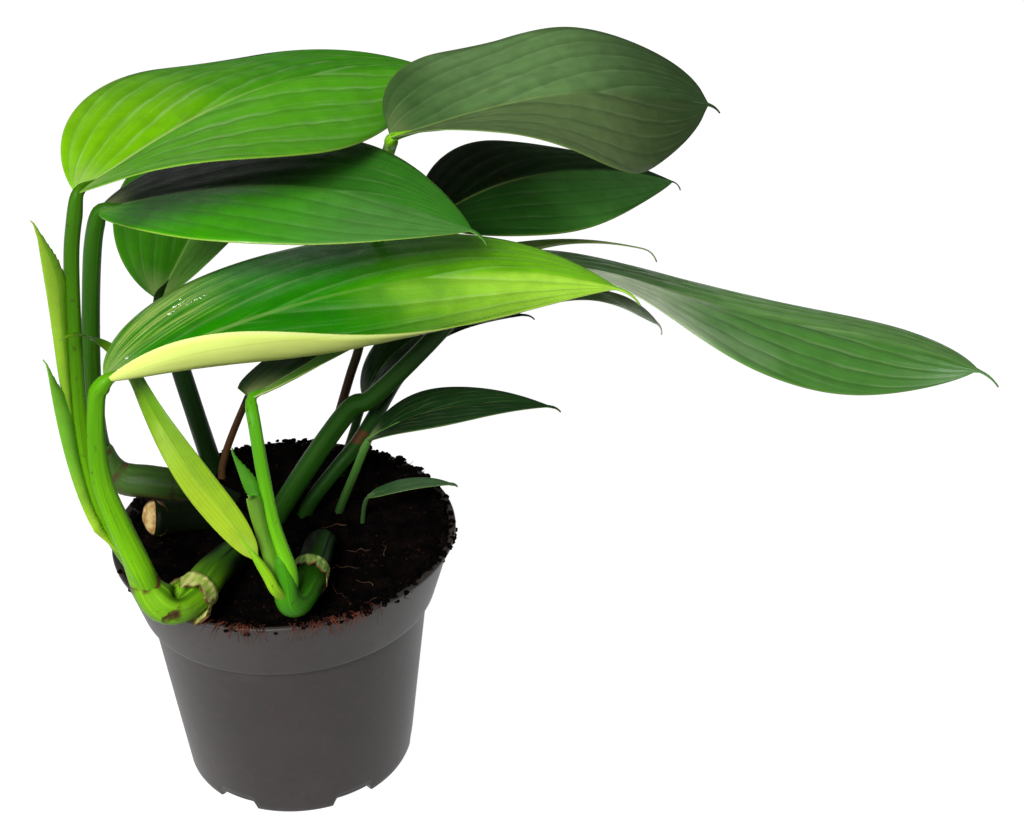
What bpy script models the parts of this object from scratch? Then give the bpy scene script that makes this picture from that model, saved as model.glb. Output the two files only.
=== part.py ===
"""Potted dragon tail plant: rooted stem cuttings of a climbing aroid in a thin nursery pot.

Units are metres and +Z is up. The origin is the middle of the pot's base, on the ground. +X is the
side that the leaves lean to, and -Y is the side where two of the cuttings cross the rim.
"""

import math

import bpy
import numpy as np
from mathutils import Matrix, Vector

MM = 0.001
GAP = 0.3 * MM  # clear space between pieces that touch

# Pot
POT_SIDES = 48
RIM_RADIUS = 60.0 * MM
POT_HEIGHT = 95.5 * MM
BASE_RADIUS = 41.7 * MM
BAND_BOTTOM = 70.5 * MM
BAND_BOTTOM_RADIUS = 52.5 * MM
WALL_TOP_RADIUS = 49.6 * MM
WALL = 1.2 * MM
FLOOR_DISC_RADIUS = 30.0 * MM
FLOOR_GROOVE = 3.0 * MM  # how far the floor is raised between the disc and the foot ring
FOOT_RING_OUTER = 1.0 * MM  # both edges of the foot ring, measured in from the base radius
FOOT_RING_INNER = 3.5 * MM
GROOVE_OUTER = 5.0 * MM
LIP_HEIGHT = 2.0 * MM
LIP_REACH = 1.2 * MM
EDGE_SOFTENING = 1.2 * MM
NOTCH_COUNT = 6
NOTCH_FIRST_ANGLE = -117.0
NOTCH_WIDTH = 16.0 * MM
NOTCH_HEIGHT = 4.0 * MM
NOTCH_REACH_IN = 8.0 * MM
NOTCH_REACH_OUT = 4.0 * MM

# Soil
SOIL_EDGE_HEIGHT = 92.0 * MM
SOIL_MOUND = 3.0 * MM
SOIL_RINGS = 7
BROAD_LUMP = 0.8 * MM
BROAD_WAVES = (190.0, 160.0)  # turns of the lumps in radians per metre, along X and along Y
SMALL_LUMP = 0.5 * MM
SMALL_WAVES = (340.0, 390.0)

# Leaves
BLADE_THICKNESS = 1.0 * MM
NARROW_THICKNESS = 0.7 * MM
BLADE_ROWS = 14
HALF_BLADE_COLUMNS = 3
BLADE_FOOT_HALF_WIDTH = 1.2 * MM
TAIL_HALF_WIDTH = 0.7 * MM
TAIL_START = 0.95
TAIL_DROOP = 45.0

TUBE_STEP = 9.0  # spacing in mm of the rings along a stalk or stem
STEM_SIDES = 12
STALK_SIDES = 8
SHARP_EDGE = 40.0  # a crease of more degrees than this isn't shaded smooth

# Each blade leaves its stalk at base (mm) and is length by width (mm). The angles are in degrees, at
# even steps from the foot to the tip. Pitch is the midrib's rise, heading turns it from +X towards
# +Y, and roll lifts its left half. A fold lifts that half where it meets the midrib, and a curl is
# the extra lift that it has gained at the margin. The shape's two powers fill the foot and the tip.
BLADES = {
    "top_left": dict(
        base=(-43, -47.5, 239), length=152, width=73, shape=(0.7, 0.96),
        pitch=(15, 11, -8, -18), heading=(55, 47, 42, 41), roll=(0, 10, 14, 26),
        fold_left=(22, -9, -4), curl_left=(0, -15, -10),
        fold_right=(21, -3, -22), curl_right=(-2, -14, -19),
    ),
    "middle_left": dict(
        base=(-51, 2, 214), length=130, width=64, shape=(0.58, 0.9),
        pitch=(14, 9, -5, -21), heading=(3, -10, -17, -16), roll=(0, 11, 18, 15),
        fold_left=(8, 2, 5), curl_left=(-9, -11, -8),
        fold_right=(9, 6, 0), curl_right=(-8, -9, -9),
    ),
    "top_right": dict(
        base=(42, 7, 236), length=120, width=71, shape=(0.4, 0.57),
        pitch=(14, 8, -15, -12), heading=(18, 18, 35, 4), roll=(19, 17, 44, 43),
        fold_left=(14, -7, -4), curl_left=(-2, -13, -11),
        fold_right=(38, 8, -5), curl_right=(9, -7, -13),
    ),
    "middle_right": dict(
        base=(51, 51, 190), length=119, width=65, shape=(0.58, 0.94),
        pitch=(25, -1, -15, -26), heading=(31, 34, 36, 30), roll=(10, 14, 8, 10),
        fold_left=(2, -1, 1), curl_left=(-12, -13, -9),
        fold_right=(4, -1, 2), curl_right=(-11, -12, -8),
    ),
    "front": dict(
        base=(-38.5, -60, 186), length=178, width=78, shape=(0.7, 1.09),
        pitch=(9, 3, 4, -18), heading=(42, 32, 5, -11), roll=(8, 22, 22, 21),
        fold_left=(-3, -13, -10, -4), curl_left=(-14, -18, -15, -11),
        fold_right=(-32, -48, -32, -15), curl_right=(180, 151, 80, -3),
    ),
    "back_left": dict(
        base=(-47, 50, 160), length=134, width=66, shape=(0.6, 1.0),
        pitch=(33, 19, 5, -6), heading=(69, 73, 72, 69), roll=(0, 0, 0, 0),
        fold_left=(26, 16, 8), curl_left=(0, -4, -6),
        fold_right=(30, 20, 10), curl_right=(2, -2, -5),
    ),
    "long_right": dict(
        base=(76, 20, 188), length=182, width=71, shape=(0.67, 0.82),
        pitch=(-10, -20, -7, -5), heading=(28, -1, -9, -39), roll=(-6, -5, 9, 33),
        fold_left=(5, -9, -25), curl_left=(-9, -14, -20),
        fold_right=(15, 2, -16), curl_right=(-4, -11, -19),
    ),
    "low_right": dict(
        base=(59, 22, 166), length=82, width=33, shape=(0.5, 0.86),
        pitch=(24, 10, -15, -56), heading=(5, 8, 5, 0), roll=(3, 0, -8, 5),
        fold_left=(2, -8, 3), curl_left=(-14, -17, -9),
        fold_right=(8, 12, -4), curl_right=(-9, -6, -13),
    ),
    "shaded_right": dict(
        base=(26, 40, 125), length=76, width=26, shape=(0.5, 1.0),
        pitch=(70, 35, 5, -10), heading=(15, 15, 10, 5), roll=(8, 5, 0, 0),
        fold_left=(10, 8, 4), curl_left=(-10, -10, -8),
        fold_right=(15, 8, 4), curl_right=(-8, -8, -8),
    ),
    "small_right": dict(
        base=(30, 10, 125), length=71, width=25, shape=(0.57, 1.1),
        pitch=(41, 16, 2, -15), heading=(0, 0, 0, 0), roll=(0, 8, 6, 6),
        fold_left=(11, 4, 1), curl_left=(-7, -10, -9),
        fold_right=(19, 8, 5), curl_right=(-4, -8, -8),
    ),
    "tiny_right": dict(
        base=(29, 6, 104), length=33, width=8, shape=(0.56, 0.94),
        pitch=(23, 17, 4, -14), heading=(0, 0, 0, 0), roll=(5, 5, 8, 12),
        fold_left=(10, 7, 7), curl_left=(-8, -9, -6),
        fold_right=(17, 14, 9), curl_right=(-5, -5, -5),
    ),
    "slender_centre": dict(
        base=(-1, -38, 168), length=195, width=29, shape=(0.28, 1.06),
        pitch=(3, 8, -4, -26), heading=(53, 51, 38, 28), roll=(-4, 3, -8, -13),
        fold_left=(-1, 9, 11), curl_left=(-2, -3, -5),
        fold_right=(12, 7, 6), curl_right=(31, 12, -4),
    ),
}

# Narrow blades, which stand upright with their face to -Y: the youngest leaf, and the sheaths that
# wrapped a new leaf before it opened.
NARROW_BLADES = {
    "blade_young": dict(
        base=(0.5, -61, 124), length=113, width=10.5, shape=(0.5, 1.6),
        pitch=(63, 58, 55, 58, 53, 38, 33, 51, 28, 34, 21),
        heading=(173, 171, 169, 162, 146, 129, 123, 176, 288, 267, 222),
        roll=(-70, -65, -60, -60, -60, -60, -40, -20),
        fold_left=(10, 8, 4), curl_left=(-5, -8, -5),
        fold_right=(10, 8, 4), curl_right=(-5, -8, -5),
    ),
    "sheath_upper_left": dict(
        base=(-52.8, -57.5, 177.5), length=58, width=6.5, shape=(0.5, 0.9),
        pitch=(97, 90, 84, 80), heading=(180, 180), roll=(-90, -90),
        fold_left=(-20, -20), curl_left=(0, 0),
        fold_right=(-5, -5), curl_right=(0, 0),
    ),
    "sheath_lower_left": dict(
        base=(-48, -63.5, 134), length=60, width=7, shape=(0.5, 0.8),
        pitch=(76, 80, 83, 84), heading=(180, 170), roll=(-90, -90),
        fold_left=(-25, -25), curl_left=(-20, -20),
        fold_right=(-5, -5), curl_right=(0, 0),
    ),
    "sheath_centre": dict(
        base=(5.5, -58.5, 112.7), length=33, width=5.2, shape=(0.1, 0.1),
        pitch=(78, 79, 80, 82), heading=(180, 180), roll=(-90, -90),
        fold_left=(-20, -20), curl_left=(-20, -20),
        fold_right=(-10, -10), curl_right=(0, 0),
    ),
    "sheath_centre_inner": dict(
        base=(-0.7, -54, 142), length=18, width=4.4, shape=(0.15, 0.3),
        pitch=(76, 78, 74, 66), heading=(180, 180), roll=(-90, -90),
        fold_left=(-15, -15), curl_left=(0, 0),
        fold_right=(-15, -15), curl_right=(0, 0),
    ),
}

# A stalk or stem is a tube through its points (mm) with a radius (mm) at each of them.
STALKS = {
    "top_left": dict(
        points=[(-41.5, -55, 119.5), (-44, -55.5, 128), (-48, -55, 141.5), (-50, -53.5, 165),
                (-49, -51.5, 190), (-47, -48.5, 218), (-43.5, -47.5, 237)],
        radii=(3.0, 2.8, 2.6, 2.4, 2.3, 2.25, 2.2),
    ),
    "middle_left": dict(
        points=[(-63, 19, 114), (-65, 17, 128), (-64, 12.5, 150), (-60, 8, 175), (-55.5, 4, 198),
                (-51.5, 2.2, 213)],
        radii=(4.0, 3.5, 3.2, 3.0, 2.95, 2.7),
    ),
    "front": dict(
        points=[(-35.8, -61, 119.5), (-40.5, -60.5, 135), (-44, -60, 150), (-44, -60, 165),
                (-42, -60, 180), (-39.4, -60, 185)],
        radii=(3.9, 3.7, 3.3, 2.8, 2.55, 2.5),
    ),
    "back_left": dict(
        points=[(-28, 37, 84), (-33, 42, 98), (-42, 48, 135), (-46.8, 50, 158.8)],
        radii=(3.8, 3.7, 3.5, 3.0),
    ),
    "slender_centre": dict(
        points=[(9.2, -55.5, 116), (5, -52, 132), (2.5, -48, 148), (0.5, -43, 162), (-0.8, -38.8, 167.2)],
        radii=(2.3, 2.2, 2.1, 2.0, 1.9),
    ),
    "young": dict(
        points=[(5.9, -62.3, 112.6), (3.8, -62, 117.8), (1.1, -61.3, 123)],
        radii=(1.6, 1.6, 1.4),
    ),
    "long_right": dict(
        points=[(-7, 8, 84), (-2.5, 8.5, 97), (22, 11, 134.5), (31, 10, 141), (44, 10, 154),
                (56.5, 10, 168), (75.2, 19.5, 187)],
        radii=(3.8, 3.8, 3.6, 3.2, 3.1, 3.0, 2.7),
    ),
    "low_right": dict(
        points=[(3, 12, 84), (7, 14, 95.5), (17, 18, 108), (26.5, 22, 119), (39, 24, 141),
                (49.5, 24, 153), (58.2, 22, 165.2)],
        radii=(2.8, 2.8, 2.7, 3.0, 2.6, 2.5, 2.2),
    ),
    "top_right": dict(
        points=[(18, 18.5, 127), (23.5, 20, 144.5), (27.5, 23, 157), (30, 28, 177), (32, 30, 196),
                (36.5, 25, 214), (40, 19, 226.5), (41.7, 13.5, 232.4), (42, 8.5, 234.4)],
        radii=(1.6, 1.6, 1.6, 1.7, 1.8, 2.0, 2.1, 2.1, 2.1),
    ),
    "middle_right": dict(
        points=[(-22, 30, 84), (-28, 36, 96), (-19, 43, 119.5), (-12, 46, 130), (14, 52, 160),
                (50, 51.5, 188.8)],
        radii=(1.5, 1.4, 1.3, 1.3, 1.5, 1.9),
    ),
    "shaded_right": dict(
        points=[(15, 38, 84), (18, 38, 100), (22, 39, 113), (25.6, 40, 124)],
        radii=(1.8, 1.7, 1.6, 1.5),
    ),
    "small_right": dict(
        points=[(15.5, 15, 84), (18.3, 14, 94.6), (25.5, 12, 113.5), (29.4, 10.3, 123.8)],
        radii=(1.8, 1.6, 1.5, 1.4),
    ),
    "tiny_right": dict(
        points=[(26, 8, 86), (27, 7.5, 96), (28.4, 6.3, 103)],
        radii=(0.9, 0.8, 0.8),
    ),
}

STEMS = {
    "back_left": dict(
        points=[(-22, 24, 88), (-36, 21, 98), (-50, 19, 102), (-62, 19, 103)],
        radii=(5.5, 5.8, 6.0, 6.2),
    ),
    "cut_stub": dict(
        points=[(-14, 10, 86), (-24, 7, 95), (-36, 1, 99), (-45, -3, 101)],
        radii=(5.3, 5.5, 5.6, 6.4),
    ),
    "front_left": dict(
        points=[(-9, -9, 86), (-13, -18, 97), (-18, -38, 103), (-21.5, -50, 103.5),
                (-28, -57, 103), (-35, -59, 105.5), (-39.5, -59, 111.5)],
        radii=(5.5, 5.5, 5.6, 6.0, 6.8, 7.0, 6.8),
    ),
    "front_right": dict(
        points=[(14, -4, 86), (14, -12, 96), (14, -30, 102), (13, -46, 103.5), (9.5, -55, 104),
                (6.5, -57, 108.5)],
        radii=(5.3, 5.3, 5.4, 5.6, 6.0, 5.8),
    ),
}


LEAF_COLOURS = {
    "top_left": (0.10, 0.40, 0.02),
    "middle_left": (0.03, 0.23, 0.01),
    "top_right": (0.06, 0.14, 0.05),
    "middle_right": (0.01, 0.04, 0.01),
    "front": (0.14, 0.45, 0.02),
    "back_left": (0.02, 0.16, 0.02),
    "long_right": (0.05, 0.19, 0.03),
    "low_right": (0.03, 0.05, 0.03),
    "shaded_right": (0.01, 0.03, 0.01),
    "small_right": (0.02, 0.05, 0.02),
    "tiny_right": (0.03, 0.08, 0.03),
    "slender_centre": (0.08, 0.28, 0.03),
    "young": (0.30, 0.58, 0.04),
}
SHEATH_COLOURS = {
    "sheath_upper_left": (0.24, 0.48, 0.05),
    "sheath_lower_left": (0.18, 0.42, 0.04),
    "sheath_centre": (0.20, 0.46, 0.06),
    "sheath_centre_inner": (0.12, 0.36, 0.02),
}
STALK_COLOURS = {
    "top_left": (0.10, 0.32, 0.02),
    "middle_left": (0.03, 0.14, 0.01),
    "front": (0.12, 0.38, 0.02),
    "back_left": (0.01, 0.07, 0.01),
    "slender_centre": (0.10, 0.40, 0.02),
    "young": (0.28, 0.55, 0.04),
    "long_right": (0.04, 0.13, 0.02),
    "low_right": (0.02, 0.08, 0.01),
    "top_right": (0.10, 0.08, 0.03),
    "middle_right": (0.12, 0.07, 0.04),
    "shaded_right": (0.03, 0.06, 0.02),
    "small_right": (0.04, 0.10, 0.03),
    "tiny_right": (0.05, 0.11, 0.04),
}
STEM_COLOURS = {
    "back_left": (0.02, 0.07, 0.02),
    "cut_stub": (0.015, 0.05, 0.02),
    "front_left": (0.06, 0.22, 0.02),
    "front_right": (0.03, 0.14, 0.02),
}


def wipe_scene():
    for obj in list(bpy.data.objects):
        bpy.data.objects.remove(obj)


def make_material(name, colour, roughness):
    material = bpy.data.materials.new(name)
    material.use_nodes = True
    shader = material.node_tree.nodes["Principled BSDF"]
    shader.inputs["Base Color"].default_value = (*colour, 1)
    shader.inputs["Roughness"].default_value = roughness
    shader.inputs["Metallic"].default_value = 0.0
    material.diffuse_color = (*colour, 1)
    return material


def add_object(name, points, faces, material):
    mesh = bpy.data.meshes.new(name)
    mesh.from_pydata([tuple(map(float, point)) for point in points], [], faces)
    mesh.shade_smooth()
    mesh.set_sharp_from_angle(angle=math.radians(SHARP_EDGE))
    mesh.materials.append(material)
    obj = bpy.data.objects.new(name, mesh)
    bpy.context.scene.collection.objects.link(obj)
    return obj


def at_even_steps(values, along):
    return np.interp(along, np.linspace(0, 1, len(values)), values)


def blade_half_widths(blade, along):
    """Half of the blade's width at each place along its midrib, ending in a thin drip tail."""
    foot_power, tip_power = blade["shape"]
    t = np.clip(along / TAIL_START, 0, 1)
    peak = foot_power / (foot_power + tip_power)
    outline = t**foot_power * (1 - t) ** tip_power
    outline /= peak**foot_power * (1 - peak) ** tip_power
    least = np.where(along > 0.5, TAIL_HALF_WIDTH, BLADE_FOOT_HALF_WIDTH)
    return np.maximum(blade["width"] * MM / 2 * outline, least)


def blade_grid(blade, rows, half_columns):
    """Points of the blade's middle surface, one row for each step from its foot to its tip."""
    along = np.linspace(0, 1, rows + 1)
    pitch = at_even_steps(blade["pitch"], along)
    pitch -= TAIL_DROOP * np.clip((along - TAIL_START) / (1 - TAIL_START), 0, 1)
    pitch = np.radians(pitch)
    heading = np.radians(at_even_steps(blade["heading"], along))
    roll = np.radians(at_even_steps(blade["roll"], along))
    ahead = np.stack([np.cos(pitch) * np.cos(heading), np.cos(pitch) * np.sin(heading), np.sin(pitch)], 1)
    level = np.stack([-np.sin(heading), np.cos(heading), np.zeros(rows + 1)], 1)
    upward = np.cross(ahead, level)
    left = np.cos(roll)[:, None] * level + np.sin(roll)[:, None] * upward
    normal = np.cross(ahead, left)

    step = blade["length"] * MM / rows
    midrib = np.zeros((rows + 1, 3))
    midrib[1:] = np.cumsum((ahead[1:] + ahead[:-1]) / 2 * step, axis=0)
    midrib += np.array(blade["base"]) * MM

    half_width = blade_half_widths(blade, along)
    grid = np.zeros((rows + 1, 2 * half_columns + 1, 3))
    grid[:, half_columns] = midrib
    for sign, side in ((1, "left"), (-1, "right")):
        fold = np.radians(at_even_steps(blade["fold_" + side], along))
        curl = np.radians(at_even_steps(blade["curl_" + side], along))
        place = midrib.copy()
        for column in range(1, half_columns + 1):
            lift = fold + curl * (column - 0.5) / half_columns
            sideways = sign * np.cos(lift)[:, None] * left + np.sin(lift)[:, None] * normal
            place = place + (half_width / half_columns)[:, None] * sideways
            grid[:, half_columns + sign * column] = place
    return grid


def grid_normals(grid):
    down_rows = np.gradient(grid, axis=0)
    across = np.gradient(grid, axis=1)
    normals = np.cross(down_rows, across)
    return normals / np.linalg.norm(normals, axis=2, keepdims=True)


def sheet_solid(grid, thickness):
    """A closed sheet of this thickness around a grid of points."""
    rows, columns = grid.shape[:2]
    offset = grid_normals(grid) * thickness / 2
    points = np.concatenate([(grid + offset).reshape(-1, 3), (grid - offset).reshape(-1, 3)])
    under = rows * columns
    faces = []
    for i in range(rows - 1):
        for j in range(columns - 1):
            a = i * columns + j
            b = a + columns
            faces.append((a, b, b + 1, a + 1))
            faces.append((under + a, under + a + 1, under + b + 1, under + b))
    edge = list(range(columns))
    edge += [i * columns + columns - 1 for i in range(1, rows)]
    edge += [(rows - 1) * columns + j for j in range(columns - 2, -1, -1)]
    edge += [i * columns for i in range(rows - 2, 0, -1)]
    for a, b in zip(edge, edge[1:] + edge[:1]):
        faces.append((a, b, under + b, under + a))
    return points, faces


def add_blade(name, blade, material, thickness=BLADE_THICKNESS):
    grid = blade_grid(blade, BLADE_ROWS, HALF_BLADE_COLUMNS)
    points, faces = sheet_solid(grid, thickness)
    add_object(name, points, faces, material)


def smooth_path(points, radii, step):
    """A Catmull-Rom curve through the points (mm), with the radius along it, both made metres."""
    points = np.array(points, float)
    radii = np.array(radii, float)
    padded = np.vstack([2 * points[0] - points[1], points, 2 * points[-1] - points[-2]])
    path = [points[0]]
    widths = [radii[0]]
    for i in range(len(points) - 1):
        before, start, end, after = padded[i : i + 4]
        count = max(1, round(np.linalg.norm(end - start) / step))
        for k in range(1, count + 1):
            t = k / count
            path.append(
                0.5 * (2 * start + (end - before) * t
                       + (2 * before - 5 * start + 4 * end - after) * t**2
                       + (3 * start - before - 3 * end + after) * t**3)
            )
            widths.append(radii[i] + (radii[i + 1] - radii[i]) * t)
    return np.array(path) * MM, np.array(widths) * MM


def tube(path, widths, sides):
    """A closed tube along the path, whose rings turn with it and don't twist."""
    ahead = np.gradient(path, axis=0)
    ahead /= np.linalg.norm(ahead, axis=1, keepdims=True)
    across = Vector(ahead[0]).orthogonal().normalized()
    points = []
    for place, direction, radius in zip(path, ahead, map(float, widths)):
        direction = Vector(direction)
        across = (across - direction * across.dot(direction)).normalized()
        other = direction.cross(across)
        for k in range(sides):
            angle = 2 * math.pi * k / sides
            points.append(Vector(place) + radius * (math.cos(angle) * across + math.sin(angle) * other))
    faces = [tuple(range(sides))[::-1]]
    for ring in range(len(path) - 1):
        for k in range(sides):
            a = ring * sides + k
            b = ring * sides + (k + 1) % sides
            faces.append((a, b, b + sides, a + sides))
    last = (len(path) - 1) * sides
    faces.append(tuple(range(last, last + sides)))
    return points, faces


def add_tube(name, spec, sides, material):
    path, widths = smooth_path(spec["points"], spec["radii"], TUBE_STEP)
    points, faces = tube(path, widths, sides)
    add_object(name, points, faces, material)


def turned(profile, sides):
    """A closed solid of revolution. The profile starts and ends on the axis and runs from the
    bottom, round the outside, to the top."""
    points = [(0, 0, profile[0][1])]
    for radius, height in profile[1:-1]:
        for k in range(sides):
            angle = 2 * math.pi * k / sides
            points.append((radius * math.cos(angle), radius * math.sin(angle), height))
    points.append((0, 0, profile[-1][1]))
    faces = []
    for k in range(sides):
        after = (k + 1) % sides
        faces.append((0, 1 + after, 1 + k))
        for ring in range(len(profile) - 3):
            a = 1 + ring * sides
            b = a + sides
            faces.append((a + k, a + after, b + after, b + k))
        last = 1 + (len(profile) - 3) * sides
        faces.append((last + k, last + after, len(points) - 1))
    return points, faces


def pot_profile():
    """Outside of the pot from the axis to the rim, then its inside back to the axis."""
    floor = WALL + FLOOR_GROOVE
    band_top_radius = RIM_RADIUS - LIP_REACH
    slope = 0.4 * MM
    outside = [
        (0, 0),
        (FLOOR_DISC_RADIUS, 0),
        (FLOOR_DISC_RADIUS + FLOOR_GROOVE / 2, FLOOR_GROOVE),
        (BASE_RADIUS - GROOVE_OUTER, FLOOR_GROOVE),
        (BASE_RADIUS - FOOT_RING_INNER, 0),
        (BASE_RADIUS - FOOT_RING_OUTER, 0),
        (BASE_RADIUS, EDGE_SOFTENING),
        (WALL_TOP_RADIUS, BAND_BOTTOM),
        (BAND_BOTTOM_RADIUS - EDGE_SOFTENING / 2, BAND_BOTTOM + slope),
        (BAND_BOTTOM_RADIUS, BAND_BOTTOM + EDGE_SOFTENING),
        (band_top_radius, POT_HEIGHT - LIP_HEIGHT),
        (RIM_RADIUS, POT_HEIGHT - LIP_HEIGHT + slope),
        (RIM_RADIUS, POT_HEIGHT),
    ]
    inside = [
        (band_top_radius - WALL, POT_HEIGHT),
        (BAND_BOTTOM_RADIUS - WALL, BAND_BOTTOM + 2 * slope + WALL),
        (WALL_TOP_RADIUS - WALL, BAND_BOTTOM + WALL / 2),
        (BASE_RADIUS - WALL, floor),
        (FLOOR_DISC_RADIUS + WALL / 2, floor),
        (FLOOR_DISC_RADIUS - 2 * slope, WALL),
        (0, WALL),
    ]
    return outside, inside


def add_cutter(name, points, faces):
    mesh = bpy.data.meshes.new(name)
    mesh.from_pydata([tuple(map(float, point)) for point in points], [], faces)
    cutter = bpy.data.objects.new(name, mesh)
    bpy.context.scene.collection.objects.link(cutter)
    cutter.hide_render = True
    cutter.display_type = "WIRE"
    return cutter


def cut(obj, cutter):
    modifier = obj.modifiers.new("cut_" + cutter.name, "BOOLEAN")
    modifier.operation = "DIFFERENCE"
    modifier.object = cutter


def add_pot(material):
    outside, inside = pot_profile()
    points, faces = turned(outside + inside, POT_SIDES)
    pot = add_object("nursery_pot", points, faces, material)
    inner = BASE_RADIUS - NOTCH_REACH_IN
    outer = BASE_RADIUS + NOTCH_REACH_OUT
    half = NOTCH_WIDTH / 2
    corners = [
        (x, y, z)
        for z in (-1.0 * MM, NOTCH_HEIGHT)
        for x, y in ((inner, -half), (outer, -half), (outer, half), (inner, half))
    ]
    box = [(3, 2, 1, 0), (4, 5, 6, 7), (0, 1, 5, 4), (1, 2, 6, 5), (2, 3, 7, 6), (3, 0, 4, 7)]
    for i in range(NOTCH_COUNT):
        angle = math.radians(NOTCH_FIRST_ANGLE + 360 / NOTCH_COUNT * i)
        turn = Matrix.Rotation(angle, 4, "Z")
        cutter = add_cutter(f"notch_{i + 1}", [turn @ Vector(corner) for corner in corners], box)
        cut(pot, cutter)


def inner_wall_radius(height):
    """Radius of the pot's inside at a height within its band."""
    _, inside = pot_profile()
    (top_radius, top_height), (bottom_radius, bottom_height) = inside[:2]
    share = (height - bottom_height) / (top_height - bottom_height)
    return bottom_radius + (top_radius - bottom_radius) * share


def soil_height(x, y):
    """The soil is heaped up a little towards the back, with low lumps in it."""
    radius = math.hypot(x, y)
    heap = SOIL_MOUND * (y / RIM_RADIUS) * (radius / RIM_RADIUS)
    lumps = BROAD_LUMP * math.sin(x * BROAD_WAVES[0]) * math.cos(y * BROAD_WAVES[1] + 0.6)
    lumps += SMALL_LUMP * math.sin(x * SMALL_WAVES[0] + 1.3) * math.sin(y * SMALL_WAVES[1])
    return SOIL_EDGE_HEIGHT + heap + lumps


def add_sockets(soil, kind, specs, sides):
    """Holes in the soil for the stems or stalks that start in it, a gap wider than they are."""
    for name, spec in specs.items():
        lowest = min(point[2] for point in spec["points"]) * MM
        if lowest > SOIL_EDGE_HEIGHT:
            continue
        path, widths = smooth_path(spec["points"], spec["radii"], TUBE_STEP)
        back = path[0] - path[1]
        path[0] += back / np.linalg.norm(back) * GAP
        points, faces = tube(path, widths + GAP, sides)
        cut(soil, add_cutter(f"socket_{kind}_{name}", points, faces))


def add_soil(material):
    _, inside = pot_profile()
    floor = [(max(radius - GAP, 0), height + GAP) for radius, height in inside[:1:-1]]
    top = [((1 - ring / SOIL_RINGS) * RIM_RADIUS, SOIL_EDGE_HEIGHT) for ring in range(SOIL_RINGS + 1)]
    points, faces = turned(floor + top, POT_SIDES)
    first_top = 1 + (len(floor) - 1) * POT_SIDES
    for i in range(first_top, len(points)):
        x, y, _ = points[i]
        height = soil_height(x, y)
        shrink = 1.0
        if i < first_top + POT_SIDES:
            shrink = (inner_wall_radius(height) - GAP) / RIM_RADIUS
        points[i] = (x * shrink, y * shrink, height)
    soil = add_object("potting_soil", points, faces, material)
    add_sockets(soil, "stem", STEMS, STEM_SIDES)
    add_sockets(soil, "stalk", STALKS, STALK_SIDES)


def main():
    wipe_scene()
    add_pot(make_material("pot_plastic", (0.09, 0.075, 0.075), 0.45))
    add_soil(make_material("soil", (0.02, 0.012, 0.008), 0.95))
    for name, spec in STEMS.items():
        node = "stem_" + name
        add_tube(node, spec, STEM_SIDES, make_material(node, STEM_COLOURS[name], 0.5))
    for name, spec in STALKS.items():
        node = "stalk_" + name
        add_tube(node, spec, STALK_SIDES, make_material(node, STALK_COLOURS[name], 0.4))
    for name, spec in BLADES.items():
        node = "blade_" + name
        add_blade(node, spec, make_material(node, LEAF_COLOURS[name], 0.4))
    for node, spec in NARROW_BLADES.items():
        colour = SHEATH_COLOURS.get(node, LEAF_COLOURS["young"])
        add_blade(node, spec, make_material(node, colour, 0.45), NARROW_THICKNESS)


main()
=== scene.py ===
"""Looks of the potted dragon tail plant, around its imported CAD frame.

Each leaf blade, stalk, stem, sheath, the soil and the pot stands for its CAD node. It is shaped by the
same few numbers as that solid, in finer steps, and is set where the node's box is. The vein relief,
collars, scars, crumbs, roots, fibres and water drops are details that the solids leave out.

Units are metres. Tables give millimetres and degrees. Colours of three numbers are 0 to 255 as a screen
shows them, and colours of four are linear.
"""

import itertools
import math
import random

import bpy
import numpy as np
from mathutils import Euler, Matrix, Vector, noise


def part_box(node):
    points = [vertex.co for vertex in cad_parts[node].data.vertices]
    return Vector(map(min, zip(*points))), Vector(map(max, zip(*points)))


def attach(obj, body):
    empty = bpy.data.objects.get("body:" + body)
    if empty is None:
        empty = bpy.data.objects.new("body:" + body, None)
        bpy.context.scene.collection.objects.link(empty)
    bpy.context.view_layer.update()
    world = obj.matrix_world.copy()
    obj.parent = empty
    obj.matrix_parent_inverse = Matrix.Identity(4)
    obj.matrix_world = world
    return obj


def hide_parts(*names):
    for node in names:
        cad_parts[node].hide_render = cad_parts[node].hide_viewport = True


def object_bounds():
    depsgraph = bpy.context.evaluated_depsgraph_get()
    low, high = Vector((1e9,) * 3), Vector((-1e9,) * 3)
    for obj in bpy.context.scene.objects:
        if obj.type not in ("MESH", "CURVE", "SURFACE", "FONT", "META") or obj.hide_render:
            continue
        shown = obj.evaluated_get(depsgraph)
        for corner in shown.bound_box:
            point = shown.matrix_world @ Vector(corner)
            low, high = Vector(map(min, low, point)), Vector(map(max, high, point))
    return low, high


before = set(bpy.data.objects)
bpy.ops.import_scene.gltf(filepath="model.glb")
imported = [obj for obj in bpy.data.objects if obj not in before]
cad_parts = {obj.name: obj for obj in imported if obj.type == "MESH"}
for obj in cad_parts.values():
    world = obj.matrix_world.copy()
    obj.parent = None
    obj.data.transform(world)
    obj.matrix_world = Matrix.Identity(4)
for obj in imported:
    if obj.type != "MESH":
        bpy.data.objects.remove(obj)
cad_low, cad_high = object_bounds()
pot_low, pot_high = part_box("nursery_pot")

MM = 0.001
UP = np.array([0.0, 0.0, 1.0])
GROWTH_MAP = "growth"  # UV layer: X runs from a piece's foot to its tip, Y across it or round it

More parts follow.
